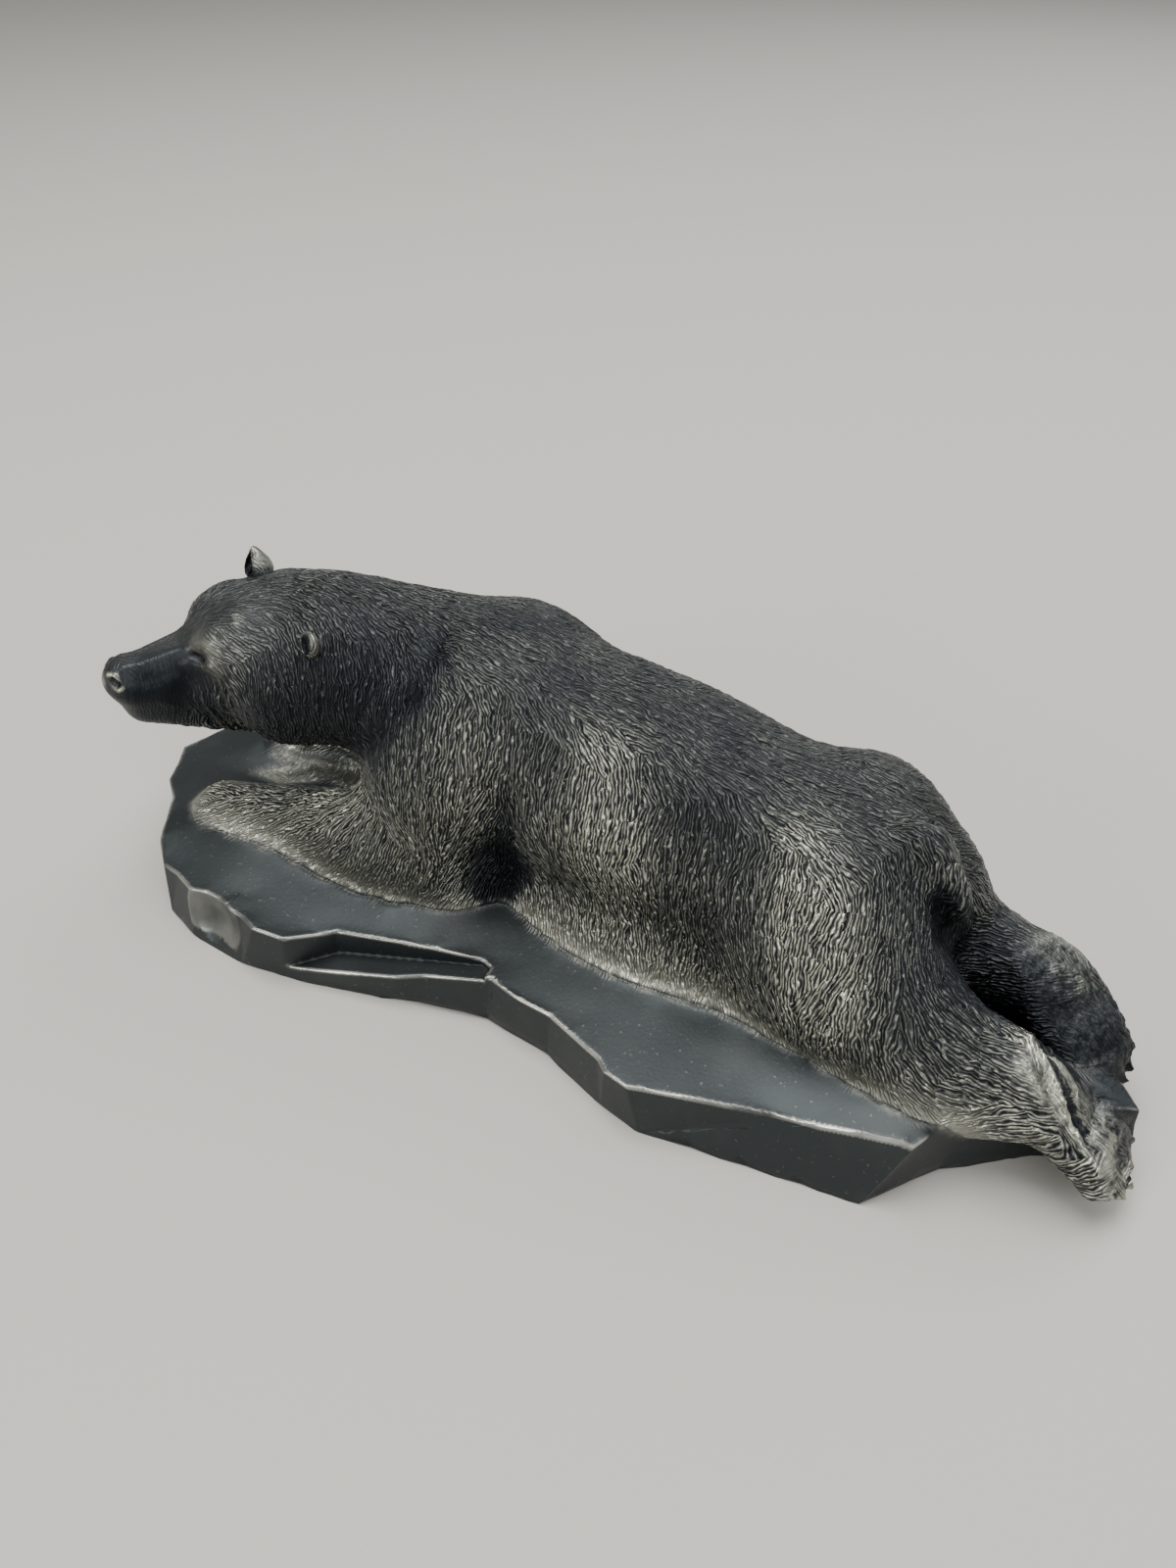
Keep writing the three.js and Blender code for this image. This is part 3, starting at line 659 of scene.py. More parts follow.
@dataclass
class FurFlow:
    """Which way the coat lies."""

    head: HeadPlace = field(default_factory=HeadPlace)
    midline: float = 5.7
    waver: float = 0.42
    waver_size: float = 3.2
    seed: int = 7
    fall: Point = (0.16, 0.75, -0.85)
    top_sweep: float = 0.9
    neck: Point = (-40.0, 0.0, 40.0)
    neck_reach: float = 13.0
    neck_lie: Point = (0.9, 0.15, -0.6)
    neck_share: float = 0.7
    head_middle: Point = (4.0, 0.0, 0.0)
    head_reach: float = 15.0
    limb_share: float = 0.92
    even_rounds: int = 6
    limbs: tuple[Stripe, ...] = (
        ((-24, -10, 13), (-63, -17, 10), 9.0, -0.35),
        ((-28, 18, 14), (-65, 3, 10), 9.0, -0.35),
        ((56, -8, 14), (76, -8, 10), 10.0, 1.15),
        ((56, 11, 16), (74, 7, 13), 9.0, 1.0),
    )

    def directions(self, casting: Casting) -> Array:
        """Lays the coat along the surface.

        Args:
            casting: the finished surface.

        Returns:
            A unit direction for each point.
        """
        points, normals = casting.points, casting.normals
        top = ease(normals[:, 2], 0.7, 0.98)
        aside = np.tanh((points[:, 1] - self.midline) / 4)
        back, out, down = self.fall
        sweep = [back + self.top_sweep * top, out * aside * (1 - top), np.full(len(points), down)]
        flow = np.stack(sweep, 1)
        local = self.head.local(points)
        forwards, left, up = self.head.axes()
        low = ease(-local[:, 2], -6, 2)[:, None]
        side = np.sign(local[:, 1])[:, None] * ease(np.abs(local[:, 1]), 0, 5)[:, None]
        over_head = -forwards * (1 - 0.8 * low) + left * side * 0.3 - up * (0.2 + 1.3 * low)
        near_head = nearness(local, (self.head_middle,), self.head_reach, 4)[:, None]
        neck = self.neck_share * nearness(points, (self.neck,), self.neck_reach, 4)[:, None]
        flow = flow * (1 - neck) + np.array(self.neck_lie) * neck
        flow = flow * (1 - near_head) + over_head * near_head
        for start, end, reach, lift in self.limbs:
            along = unit(np.array(end) - np.array(start)) + np.array([0, 0, lift])
            near = self.limb_share * nearness(points, (start, end), reach, 4)[:, None]
            flow = flow * (1 - near) + along * near
        noise.seed_set(self.seed)
        curl = np.array([noise.noise_vector(p / self.waver_size) for p in points])
        for _ in range(self.even_rounds):
            flow = unit(flow - (flow * normals).sum(1, keepdims=True) * normals)
            flow = 0.4 * flow + 0.6 * casting.average(flow)
        flow = flow + self.waver * curl
        return unit(flow - (flow * normals).sum(1, keepdims=True) * normals)


@dataclass(frozen=True)
class StrokePatches:
    """Small patches of coat, each with its own straight axes for the finest strokes."""

    count: int = 1500
    seed: int = 7
    spread: float = 400.0

    def corners(self, casting: Casting, flow: Array) -> Array:
        """Places across and along the coat.

        Args:
            casting: the finished surface.
            flow: way that the coat lies at each point.

        Returns:
            Two numbers in millimetres for each corner of each triangle.
        """
        rng = np.random.default_rng(self.seed)
        middles = casting.points[casting.faces].mean(1)
        size = np.linalg.norm(casting.face_normals(), axis=1) * np.where(casting.ice, 0.05, 1.0)
        seeds = rng.choice(len(middles), self.count, replace=False, p=size / size.sum())
        patch, _ = nearest(middles[seeds], middles)
        lead = casting.faces[seeds, 0]
        along = flow[lead]
        across = unit(np.cross(casting.normals[lead], along))
        shift = rng.uniform(0, self.spread, (self.count, 2))
        steps = casting.points[casting.faces] - middles[seeds][patch][:, None]
        return np.stack(
            [
                (steps * across[patch][:, None]).sum(2) + shift[patch, 0][:, None],
                (steps * along[patch][:, None]).sum(2) + shift[patch, 1][:, None],
            ],
            2,
        )


def math_method(operation: str, flipped: bool = False) -> Callable[["Socket", Any], "Socket"]:
    """Makes an operator of Socket.

    Args:
        operation: what its Math node does.
        flipped: whether the other value comes first.

    Returns:
        The method.
    """

    def method(self: "Socket", other: Any) -> "Socket":
        """Adds the Math node."""
        first, second = (other, self) if flipped else (self, other)
        return self.tree.node("ShaderNodeMath", {"operation": operation}, {0: first, 1: second})

    return method


class Socket:
    """A value in a node tree that takes part in sums; each sum adds a Math node."""

    def __init__(self, tree: "NodeTree", socket: bpy.types.NodeSocket) -> None:
        """Keeps the tree and the socket that gives the value."""
        self.tree = tree
        self.socket = socket

    __add__, __radd__ = math_method("ADD"), math_method("ADD", flipped=True)
    __sub__, __rsub__ = math_method("SUBTRACT"), math_method("SUBTRACT", flipped=True)
    __mul__, __rmul__ = math_method("MULTIPLY"), math_method("MULTIPLY", flipped=True)
    __truediv__, __rtruediv__ = math_method("DIVIDE"), math_method("DIVIDE", flipped=True)
    __pow__, __rpow__ = math_method("POWER"), math_method("POWER", flipped=True)

    def clamp(self) -> "Socket":
        """The value kept from 0 to 1."""
        return self.tree.node("ShaderNodeClamp", {}, {"Value": self})


class NodeTree:
    """Adds nodes to a shader or geometry tree."""

    def __init__(self, tree: bpy.types.NodeTree) -> None:
        """Keeps the tree to add to."""
        self.tree = tree

    def node(self, kind: str, settings: dict[str, Any], inputs: dict[Any, Any], output: Any = 0) -> Socket:
        """Adds one node.

        Args:
            kind: the node's type.
            settings: properties, set before the sockets.
            inputs: values or links by socket name or number.
            output: name or number of the output wanted.

        Returns:
            The wanted output.
        """
        made = self.tree.nodes.new(kind)
        for name, value in settings.items():
            setattr(made, name, value)
        for name, value in inputs.items():
            place = self._pick(made.inputs, name)
            if isinstance(value, Socket):
                self.tree.links.new(value.socket, place)
            else:
                place.default_value = value
        return Socket(self, self._pick(made.outputs, output))

    @staticmethod
    def _pick(sockets: Any, name: Any) -> Optional[bpy.types.NodeSocket]:
        """Finds a socket among the enabled ones.

        Args:
            sockets: a node's inputs or outputs.
            name: name or number of the socket wanted.

        Returns:
            The socket, or none on a node without outputs.
        """
        shown = [socket for socket in sockets if socket.enabled]
        if isinstance(name, int):
            return shown[name] if shown else None
        return next(socket for socket in shown if socket.name == name)

    def attribute(self, name: str) -> Socket:
        """A value carried by the mesh's points, in a shader."""
        return self.node("ShaderNodeAttribute", {"attribute_name": name}, {}, "Fac")

    def carried(self, name: str, kind: str = "FLOAT") -> Socket:
        """A value carried by the mesh's points, in a geometry tree."""
        return self.node("GeometryNodeInputNamedAttribute", {"data_type": kind}, {"Name": name})

    def noise(self, place: Socket, scale: Any, detail: float) -> Socket:
        """Noise through space, about 0.5."""
        return self.node("ShaderNodeTexNoise", {}, {"Vector": place, "Scale": scale, "Detail": detail})

    def stretch(self, value: Socket, low: float, high: float, smooth: bool = False) -> Socket:
        """A value moved from its own range to 0 to 1, and kept there."""
        kind = {"interpolation_type": "SMOOTHSTEP"} if smooth else {}
        return self.node("ShaderNodeMapRange", kind, {"Value": value, "From Min": low, "From Max": high})

    def mix(self, share: Any, first: Any, second: Any) -> Socket:
        """A colour between two."""
        return self.node("ShaderNodeMix", {"data_type": "RGBA"}, {"Factor": share, "A": first, "B": second})


@dataclass
class FurRelief:
    """Locks of fur raised from the surface by a geometry tree, in millimetres."""

    lock_length: float = 3.1
    lock_spacing: float = 1.9
    lock_depth: float = 0.28
    strand_length: float = 2.635
    strand_spacing: float = 1.2
    strand_depth: float = 0.18
    crumb_size: float = 1.0
    crumb_depth: float = 0.7

    def _sizes(self) -> dict[str, float]:
        """The sizes by the names of the tree's inputs."""
        return {size.name.replace("_", " ").capitalize(): getattr(self, size.name) for size in fields(self)}

    def tree(self) -> bpy.types.NodeTree:
        """Builds the geometry tree.

        Returns:
            The tree, with its sizes as named inputs.
        """
        group = bpy.data.node_groups.new("carved_fur", "GeometryNodeTree")
        group.interface.new_socket("Geometry", in_out="INPUT", socket_type="NodeSocketGeometry")
        for name in self._sizes():
            group.interface.new_socket(name, in_out="INPUT", socket_type="NodeSocketFloat")
        group.interface.new_socket("Metal", in_out="INPUT", socket_type="NodeSocketMaterial")
        group.interface.new_socket("Geometry", in_out="OUTPUT", socket_type="NodeSocketGeometry")
        tree = NodeTree(group)
        given = group.nodes.new("NodeGroupInput")
        size = {s.name: Socket(tree, s) for s in given.outputs}
        place = tree.node("GeometryNodeInputPosition", {}, {})
        depth, bare = tree.carried("depth"), tree.carried("bare")
        across = tree.carried("across", "FLOAT_VECTOR")
        locks = self._strokes(tree, place, across, size["Lock length"], size["Lock spacing"])
        strands = self._strokes(tree, place, across, size["Strand length"], size["Strand spacing"])
        crumbs = tree.noise(place, 1 / MM / size["Crumb size"], 2.0)
        raised = (locks * size["Lock depth"] + strands * size["Strand depth"]) * depth
        raised = raised + (crumbs - 0.5) * size["Crumb depth"] * bare
        away = tree.node("GeometryNodeInputNormal", {}, {})
        offset = tree.node("ShaderNodeVectorMath", {"operation": "SCALE"}, {0: away, "Scale": raised * MM})
        moved = tree.node("GeometryNodeSetPosition", {}, {"Geometry": size["Geometry"], "Offset": offset})
        kept = tree.node(
            "GeometryNodeStoreNamedAttribute",
            {"data_type": "FLOAT", "domain": "POINT"},
            {"Geometry": moved, "Name": "lock", "Value": (locks * 0.4 + strands * 0.6) + 0.5},
        )
        whole = tree.node("GeometryNodeRealizeInstances", {}, {"Geometry": kept})
        dressed = tree.node("GeometryNodeSetMaterial", {}, {"Geometry": whole, "Material": size["Metal"]})
        out = group.nodes.new("NodeGroupOutput")
        group.links.new(dressed.socket, out.inputs["Geometry"])
        return group

    @staticmethod
    def _strokes(tree: NodeTree, place: Socket, across: Socket, length: Socket, spacing: Socket) -> Socket:
        """Draws strokes that run with the coat.

        Args:
            tree: the tree to add to.
            place: position in metres.
            across: direction across the coat.
            length: size of a stroke in millimetres.
            spacing: distance between strokes in millimetres.

        Returns:
            A height from -0.5 in a gap to 0.5 on a ridge.
        """
        sizes = {"Scale": 1 / MM / length, "Frequency": length / spacing, "Anisotropy": 1.0}
        wave = tree.node(
            "ShaderNodeTexGabor", {"gabor_type": "3D"}, {"Vector": place, "Orientation": across, **sizes}
        )
        return tree.stretch(wave, 0.24, 0.76, smooth=True) - 0.5

    def carve(self, piece: bpy.types.Object, metal: bpy.types.Material) -> None:
        """Runs the tree on the piece and keeps the result as its plain mesh.

        Args:
            piece: the object to carve.
            metal: its material.
        """
        group = self.tree()
        modifier = piece.modifiers.new("carved_fur", "NODES")
        modifier.node_group = group
        values = {**self._sizes(), "Metal": metal}
        for item in group.interface.items_tree:
            if item.item_type == "SOCKET" and item.in_out == "INPUT" and item.name in values:
                modifier[item.identifier] = values[item.name]
        piece.update_tag()
        bpy.context.view_layer.update()
        evaluated = piece.evaluated_get(bpy.context.evaluated_depsgraph_get())
        carved = bpy.data.meshes.new_from_object(evaluated)
        piece.modifiers.remove(modifier)
        piece.data = carved
        carved.name = piece.name


@dataclass(frozen=True)
class Patina:
    """Dark oxidised metal, worn brighter on its high places; its colour also carries painted shade in
    hollows, folds and stroke grooves, and painted highlights on ridges, edges and sides.
    """

    # Darkest colour: patina kept in hollows, and painted shade.
    hollow: Colour = (0.010, 0.012, 0.015, 1)
    coat: Colour = (0.076, 0.081, 0.083, 1)
    # Bright metal: worn high places, and painted highlights.
    rubbed: Colour = (0.70, 0.70, 0.585, 1)
    ice: Colour = (0.038, 0.044, 0.046, 1)
    # Bright colour of the floe's edges: wear with painted highlights.
    ice_edge: Colour = (0.58, 0.58, 0.53, 1)
    metallic: float = 0.86
    roughness: float = 0.47
    stroke_spacing: float = 0.5
    stroke_length: float = 1.8
    stroke_waver: float = 1.9
    stroke_share: float = 0.75
    lock_share: float = 0.4
    ridge_range: Span = (0.12, 0.95)
    dust: float = 0.12
    blotch_scale: float = 90.0
    crumb_scale: float = 900.0
    grain_scale: float = 1900.0
    bump_depth: float = 0.0004

    def strokes(self, tree: NodeTree) -> Socket:
        """Draws the finest strokes along the coat.

        Args:
            tree: the tree to add to.

        Returns:
            A height, 0 in a groove and 1 on a ridge.
        """
        coat_uv = tree.node("ShaderNodeUVMap", {"uv_map": "strokes"}, {})
        across = tree.node("ShaderNodeSeparateXYZ", {}, {0: coat_uv}, "X")
        wander = self._stretched(tree, coat_uv, 2.4 * self.stroke_spacing, 1.3 * self.stroke_length)
        breaks = self._stretched(tree, coat_uv, 1.3 * self.stroke_spacing, 0.8 * self.stroke_length)
        turns = across * (1 / self.stroke_spacing) + (wander - 0.5) * self.stroke_waver
        wave = tree.node("ShaderNodeMath", {"operation": "SINE"}, {0: turns * math.tau}) * 0.5 + 0.5
        cut = tree.stretch(breaks, 0.36, 0.6)
        return wave * (cut * 0.6 + 0.4) + cut * 0.1

    @staticmethod
    def _stretched(tree: NodeTree, coat_uv: Socket, wide: float, long: float) -> Socket:
        """Draws noise out along the coat.

        Args:
            tree: the tree to add to.
            coat_uv: place across and along the coat.
            wide: size across in millimetres.
            long: size along in millimetres.

        Returns:
            The noise.
        """
        steps = (1 / wide, 1 / long, 0)
        place = tree.node("ShaderNodeVectorMath", {"operation": "MULTIPLY"}, {0: coat_uv, 1: steps})
        flat = {"noise_dimensions": "2D"}
        return tree.node("ShaderNodeTexNoise", flat, {"Vector": place, "Scale": 1.0, "Detail": 1.0})

    def material(self) -> bpy.types.Material:
        """Builds the shader.

        Returns:
            The material.
        """
        metal = bpy.data.materials.new("dark_cast_metal")
        metal.use_nodes = True
        tree = NodeTree(metal.node_tree)
        shader = node_of(metal.node_tree, "BSDF_PRINCIPLED")
        place = tree.node("ShaderNodeTexCoord", {}, {}, "Object")
        depth, rub, lock = (tree.attribute(n) for n in ("depth", "rub", "lock"))
        edge, shade, icy, bare = (tree.attribute(n) for n in ("edge", "shade", "icy", "bare"))
        blotch = tree.noise(place, self.blotch_scale, 3.0)
        grain = tree.noise(place, self.grain_scale, 1.0)
        crumb = tree.noise(place, self.crumb_scale, 2.0)
        strokes = self.strokes(tree)
        furred = (lock * self.lock_share + strokes * self.stroke_share) * depth
        rough_sole = ((crumb - 0.5) * 0.8 + 0.1) * bare
        height = furred + (1 - depth) * 0.5 + (grain - 0.5) * 0.2 + rough_sole
        ridge = tree.stretch(height, *self.ridge_range, smooth=True)
        # Colour darkens in stroke grooves and under painted shade: patina in the grooves, painted shade in
        # hollows, folds and the named places.
        coat = tree.mix((ridge - shade * 0.7).clamp(), self.hollow, self.coat)
        # Bright where worn and where highlights are painted: stroke ridges, edges, the seam band; less under
        # painted shade.
        shine = (ridge ** 1.5 * (rub + (blotch - 0.5) * 0.4) + edge * 0.6 - shade).clamp()
        coat = tree.mix(shine, coat, self.rubbed)
        dust = tree.stretch(grain, 0.7, 0.78) * self.dust
        ice = tree.mix((dust + (blotch - 0.5) * 0.1).clamp(), self.ice, self.ice_edge)
        # Floe edges and the scoop's rim: wear with painted highlights.
        ice = tree.mix((edge * (blotch * 3.0 - 0.8)).clamp(), ice, self.ice_edge)
        # Painted shade on the ice, such as at the end of the floe.
        ice = tree.mix((shade * 0.7).clamp(), ice, self.hollow)
        relief = strokes * depth + grain * 0.05 + crumb * bare
        bumps = {"Strength": 1.0, "Distance": self.bump_depth, "Height": relief}
        varying = {
            "Base Color": tree.mix(icy.clamp(), coat, ice),
            "Roughness": self.roughness - shine * 0.14 - edge * 0.1 + (blotch - 0.5) * 0.16,
            "Normal": tree.node("ShaderNodeBump", {}, bumps),
        }
        for name, value in varying.items():
            metal.node_tree.links.new(value.socket, shader.inputs[name])
        shader.inputs["Metallic"].default_value = self.metallic
        return metal


@dataclass
class PolarBear:
    """The whole casting: bear and floe in one piece."""

    form: BearForm = field(default_factory=BearForm)
    flow: FurFlow = field(default_factory=FurFlow)
    relief: FurRelief = field(default_factory=FurRelief)
    patina: Patina = field(default_factory=Patina)
    ice_edge_length: float = 0.8
    ice_flat_length: float = 4.0
    crease_deg: float = 11.0
    crisp_deg: float = 22.0
    ice_top: float = 14.0
    fade: float = 4.0
    # Pale band painted where bear meets ice: painted light on the coat's upward flare, weaker on the ice.
    frost: float = 0.6
    frost_reach: float = 3.0
    ice_frost: float = 0.4
    scoop: Point = (-50.74, -41.6, 7.5)
    scoop_reach: float = 10.0
    # Pale ring at the scoop's rim: wear with painted highlight.
    scoop_rim_wear_and_sheen: float = 0.4
    # Painted shade in hollows: how dark, and how deep a hollow must be.
    hollow_dark: float = 0.85
    hollow_depth: Span = (0.1, 1.1)
    # Brightening of raised spots on ears and hind feet: wear with painted highlights.
    ear_wear_and_sheen: float = 0.5
    near_foot_wear_and_sheen: float = 0.8
    far_foot_wear_and_sheen: float = 0.35
    # Base brightening everywhere: worn metal with painted highlight.
    base_rub_and_sheen: float = 0.25
    # Painted shade on the top of the back: less brightening where the coat faces up.
    kept_on_top: float = 0.18
    splits: int = 4
    seam_step: float = 0.6
    seam_reach: float = 12.0
    rim_step: float = 0.3
    rim_reach: float = 5.0
    nose_reach: float = 2.2
    fillet: float = 3.6
    # Painted highlights on the nostril rims.
    nose: tuple[Point, ...] = ((-68.0, -25.8, 40.4), (-66.3, -26.1, 39.5))
    # Worn metal with painted highlights along stripes (start, end, reach, amount): haunch, flank, shoulder,
    # forearm, paws, hind feet, around eye and ear.
    rub_and_sheen_places: tuple[Stripe, ...] = (
        ((32.4, -5, 37.3), (37.3, -12, 32), 4.5, 0.7),
        ((37.3, -12, 32), (41, -15.5, 24), 5.0, 1.0),
        ((41, -15.5, 24), (40, -18, 14), 4.5, 0.8),
        ((4, -6, 40), (9, -13, 30), 5.0, 0.75),
        ((7, -13, 28), (10, -14, 16), 7.0, 0.5),
        ((-1.5, -12.5, 11.1), (32, -14, 11), 5.0, 0.9),
        ((-14, -12, 40), (-14, -15.5, 30), 6.0, 0.3),
        ((-57, -18, 14.5), (-62, -17, 14), 4.0, 0.9),
        ((-39, -12, 18.8), (-44, -14, 18), 4.0, 0.9),
        ((-24, -12, 22), (-52, -17, 15), 7.0, 0.5),
        ((66, -7, 20), (80, -10, 7), 5.5, 0.5),
        ((58, -11, 16), (68, -11, 14), 5.0, 0.45),
        ((67, 8, 18), (74, 3, 12), 6.0, 0.25),
        ((65.2, -6.5, 20.4), (71.6, -10.4, 15.3), 0.9, 1.0),
        ((71.6, -10.4, 15.3), (77.5, -13.0, 9.5), 0.9, 1.0),
        ((-39.3, -12.2, 50.0), (-38.6, -12.8, 48.5), 0.6, 0.6),
        ((-59.0, -16.7, 44.6), (-55.5, -16.9, 45.4), 1.4, 0.4),
        ((-57.0, -17.8, 41.9), (-54.8, -17.8, 42.4), 1.3, 0.4),
        ((-53.4, -13.0, 48.6), (-52.6, -13.2, 48.4), 0.6, 0.4),
    )
    # Painted shade along stripes (start, end, reach, amount): armpit, ear and tail pits, under ruff and jaw,
    # muzzle side, ruff edge, sole groove, gap between the legs, end of the floe; partly patina in the
    # creases.
    dark_places: tuple[Stripe, ...] = (
        ((-11.7, -11.4, 12.5), (-9.5, -13.5, 20), 3.0, 1.0),
        ((-9.5, -13.5, 20), (-8.2, -14.5, 28), 1.8, 0.6),
        ((-59.4, -19.7, 40.6), (-61.4, -22.5, 39.0), 2.6, 0.5),
        ((-63.0, -23.6, 39.2), (-60.9, -22.2, 38.2), 3.0, 0.5),
        ((-40.7, -12.9, 48.7), (-40.3, -13.2, 47.9), 0.9, 0.9),
        ((-34, -12, 38), (-46, -14, 34), 6.5, 0.6),
        ((-64.5, -24.5, 36), (-58, -20, 33.5), 3.5, 0.5),
        ((76, 2, 10), (84, 2, 9), 8.0, 1.0),
        ((-25.4, -4.0, 47.2), (-24.0, -10.2, 43.0), 1.6, 0.35),
        ((-24.0, -10.2, 43.0), (-30.4, -13.2, 34.5), 2.0, 0.6),
        ((50.4, -0.2, 31.4), (51.6, -0.6, 27.5), 1.6, 0.9),
        ((67.4, -6.2, 19.0), (75.0, -9.6, 12.4), 0.8, 0.7),
        ((54, 0, 24), (64, 2, 16), 4.5, 1.0),
    )

    def build(self) -> bpy.types.Object:
        """Makes the piece from the solid.

        Returns:
            The dressed piece.
        """
        casting = Casting.from_node(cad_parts[NODE], self.crease_deg, self.ice_top)
        log.info("solid: %d triangles, %d of ice", len(casting.faces), int(casting.ice.sum()))
        crisp, ridges = self._crisp_points(casting)
        seam = self._seam_points(casting)
        for _ in range(self.splits):
            casting.split(lambda middles, on_ice: self._wanted(middles, on_ice, crisp, seam))
        log.info("refined: %d triangles", len(casting.faces))
        casting.find_share()
        fixed = np.maximum(self.form.ear_share(casting.points), 0.6 * self.form.muzzle_share(casting.points))
        fur_smooth = np.where(casting.share < 0.5, 1.0 - 0.9 * fixed, 0.0)
        casting.relax(np.where(casting.share > 0.5, 0.8, fur_smooth), 3, EVEN)
        casting.relax(fur_smooth, 8, EVEN)
        casting.away = casting.distance_from(seam, self.seam_reach)
        self._fillet(casting, crisp)
        self.form.fold_body(casting)
        casting.settle()
        self.form.carve_face(casting)
        self.form.point_ear(casting)
        self.form.shape_soles(casting)
        self.form.spread_skirt(casting)
        casting.points[:, 2] = np.maximum(casting.points[:, 2], 0)
        flow = self.flow.directions(casting)
        values = self._values(casting, flow, ridges)
        strokes = StrokePatches().corners(casting, flow)
        piece = casting.to_object("polar_bear_casting", values, strokes)
        self.relief.carve(piece, self.patina.material())
        log.info("piece: %d triangles", len(piece.data.polygons))
        return piece

    def _fillet(self, casting: Casting, crisp: Array) -> None:
        """Rounds the corner where bear and ice meet, and evens the open top of the ice.

        Args:
            casting: the surface to move.
            crisp: places along the sharp edges of the ice.
        """
        above = casting.points[:, 2] > TOP_LEVEL
        casting.relax(0.7 * (1 - ease(casting.away, 0.8, self.fillet)) * above, 12)
        inside = ease(casting.distance_from(crisp, self.rim_reach), 0.6, 2.5)
        casting.relax(0.6 * inside * (casting.share > 0.99) * above, 12)

    def _values(self, casting: Casting, flow: Array, ridges: Array) -> dict[str, Array]:
        """Works out what the relief and the patina read.

        Args:
            casting: the finished surface.
            flow: way that the coat lies.
            ridges: places along the ice's outward edges.

        Returns:
            Attributes of the points by name.
        """
        away, icy = casting.away, casting.share > 0.5
        on_ice = 0.25 * (1 - ease(away, 0, 2.5))
        depth = np.where(icy, on_ice, 0.25 + 0.75 * ease(away, 0, self.fade))
        depth *= self.form.relief_share(casting.points)
        # Painted light along the seam, weaker on the ice side.
        frost = self.frost * np.exp(-((away / self.frost_reach) ** 2)) * (casting.points[:, 2] > TOP_LEVEL)
        frost *= np.where(icy, self.ice_frost * (1 - ease(away, 0.4, 2.2)), 1)
        return {
            "depth": depth,
            "icy": 0.5 + 0.5 * np.where(icy, ease(away, 0, 2.0), -ease(away, 0, 1.5)),
            "across": unit(np.cross(casting.normals, flow)),
            "edge": np.maximum(self._wear_and_highlights(casting, ridges), frost),
            "bare": self.form.sole_share(casting.points),
            "rub": self._rub_and_sheen(casting),
            "shade": self._shaded(casting),
        }

    def _shaded(self, casting: Casting) -> Array:
        """Finds where painted shade darkens the colour: in hollows and in the folds and places named here; in
        hollows and creases it is partly the patina that the real casting keeps there.

        Args:
            casting: the finished surface.

        Returns:
            Darkness at each point, 0 to 1.
        """
        hollow = self.hollow_dark * ease(-casting.stands_out(24), *self.hollow_depth)
        hollow *= 0.15 + 0.85 * ease(casting.away, 1.0, 5.0)
        hollow *= 1 - 0.8 * casting.share
        return np.clip(hollow + stripes_share(casting.points, self.dark_places), 0, 1)

    def _crisp_points(self, casting: Casting) -> tuple[Array, Array]:
        """Places along the sharp edges of the ice above its foot.

        Args:
            casting: the solid's surface.

        Returns:
            Places along all of them, and along the outward rims of the top alone.
        """
        start, end, sides = casting.edges()
        order = np.argsort(sides.ravel(), kind="stable")
        count = np.bincount(sides.ravel(), minlength=len(start))
        lead = np.concatenate([[0], np.cumsum(count)[:-1]])
        one, other = order[lead] // 3, order[lead + count - 1] // 3
        normals, middles = unit(casting.face_normals()), casting.points[casting.faces].mean(1)
        bend = (normals[one] * normals[other]).sum(1) < math.cos(math.radians(self.crisp_deg))
        lifted = np.maximum(casting.points[start, 2], casting.points[end, 2]) > 0.5
        sharp = bend & lifted & casting.ice[one] & casting.ice[other]
        outward = sharp & (((middles[other] - middles[one]) * normals[one]).sum(1) < 0)
        outward &= np.maximum(normals[one, 2], normals[other, 2]) > 0.6
        outward &= np.minimum(normals[one, 2], normals[other, 2]) < 0.6
        first, last = casting.points[start], casting.points[end]
        return tuple(self._dotted(first[kind], last[kind], self.rim_step) for kind in (sharp, outward))

    @staticmethod
    def _dotted(first: Array, last: Array, step: float) -> Array:
        """Sets places along edges.

        Args:
            first: where the edges start.
            last: where they end.
            step: longest distance between places.

        Returns:
            The places.
        """
        rows = []
        for a, b in zip(first, last):
            count = max(2, int(np.linalg.norm(b - a) / step) + 1)
            rows.append(a + (b - a) * np.linspace(0, 1, count)[:, None])
        return np.concatenate(rows)

    def _seam_points(self, casting: Casting) -> Array:
        """Finds the line where the bear meets the ice.

        Args:
            casting: the solid's surface.

        Returns:
            Places along the line.
        """
        start, end, sides = casting.edges()
        icy = np.bincount(sides.ravel(), weights=np.repeat(casting.ice, 3), minlength=len(start))
        first, last = casting.points[start[icy == 1]], casting.points[end[icy == 1]]
        return self._dotted(first, last, self.seam_step)

    def _wanted(self, middles: Array, on_ice: Array, crisp: Array, seam: Array) -> Array:
        """Sizes the mesh of bear and ice.

        Args:
            middles: middles of the edges.
            on_ice: number of ice triangles at each edge.
            crisp: places along the sharp edges of the ice.
            seam: places along the line where bear and ice meet.

        Returns:
            The longest edge wanted at each middle.
        """
        wanted = self.form.wanted_edge(middles)
        icy = np.nonzero(on_ice == 2)[0]
        _, far = nearest(np.concatenate([crisp, seam]), middles[icy])
        longer = self.ice_flat_length - self.ice_edge_length
        wanted[icy] = self.ice_edge_length + longer * ease(far, 0.5, 7.0)
        return wanted

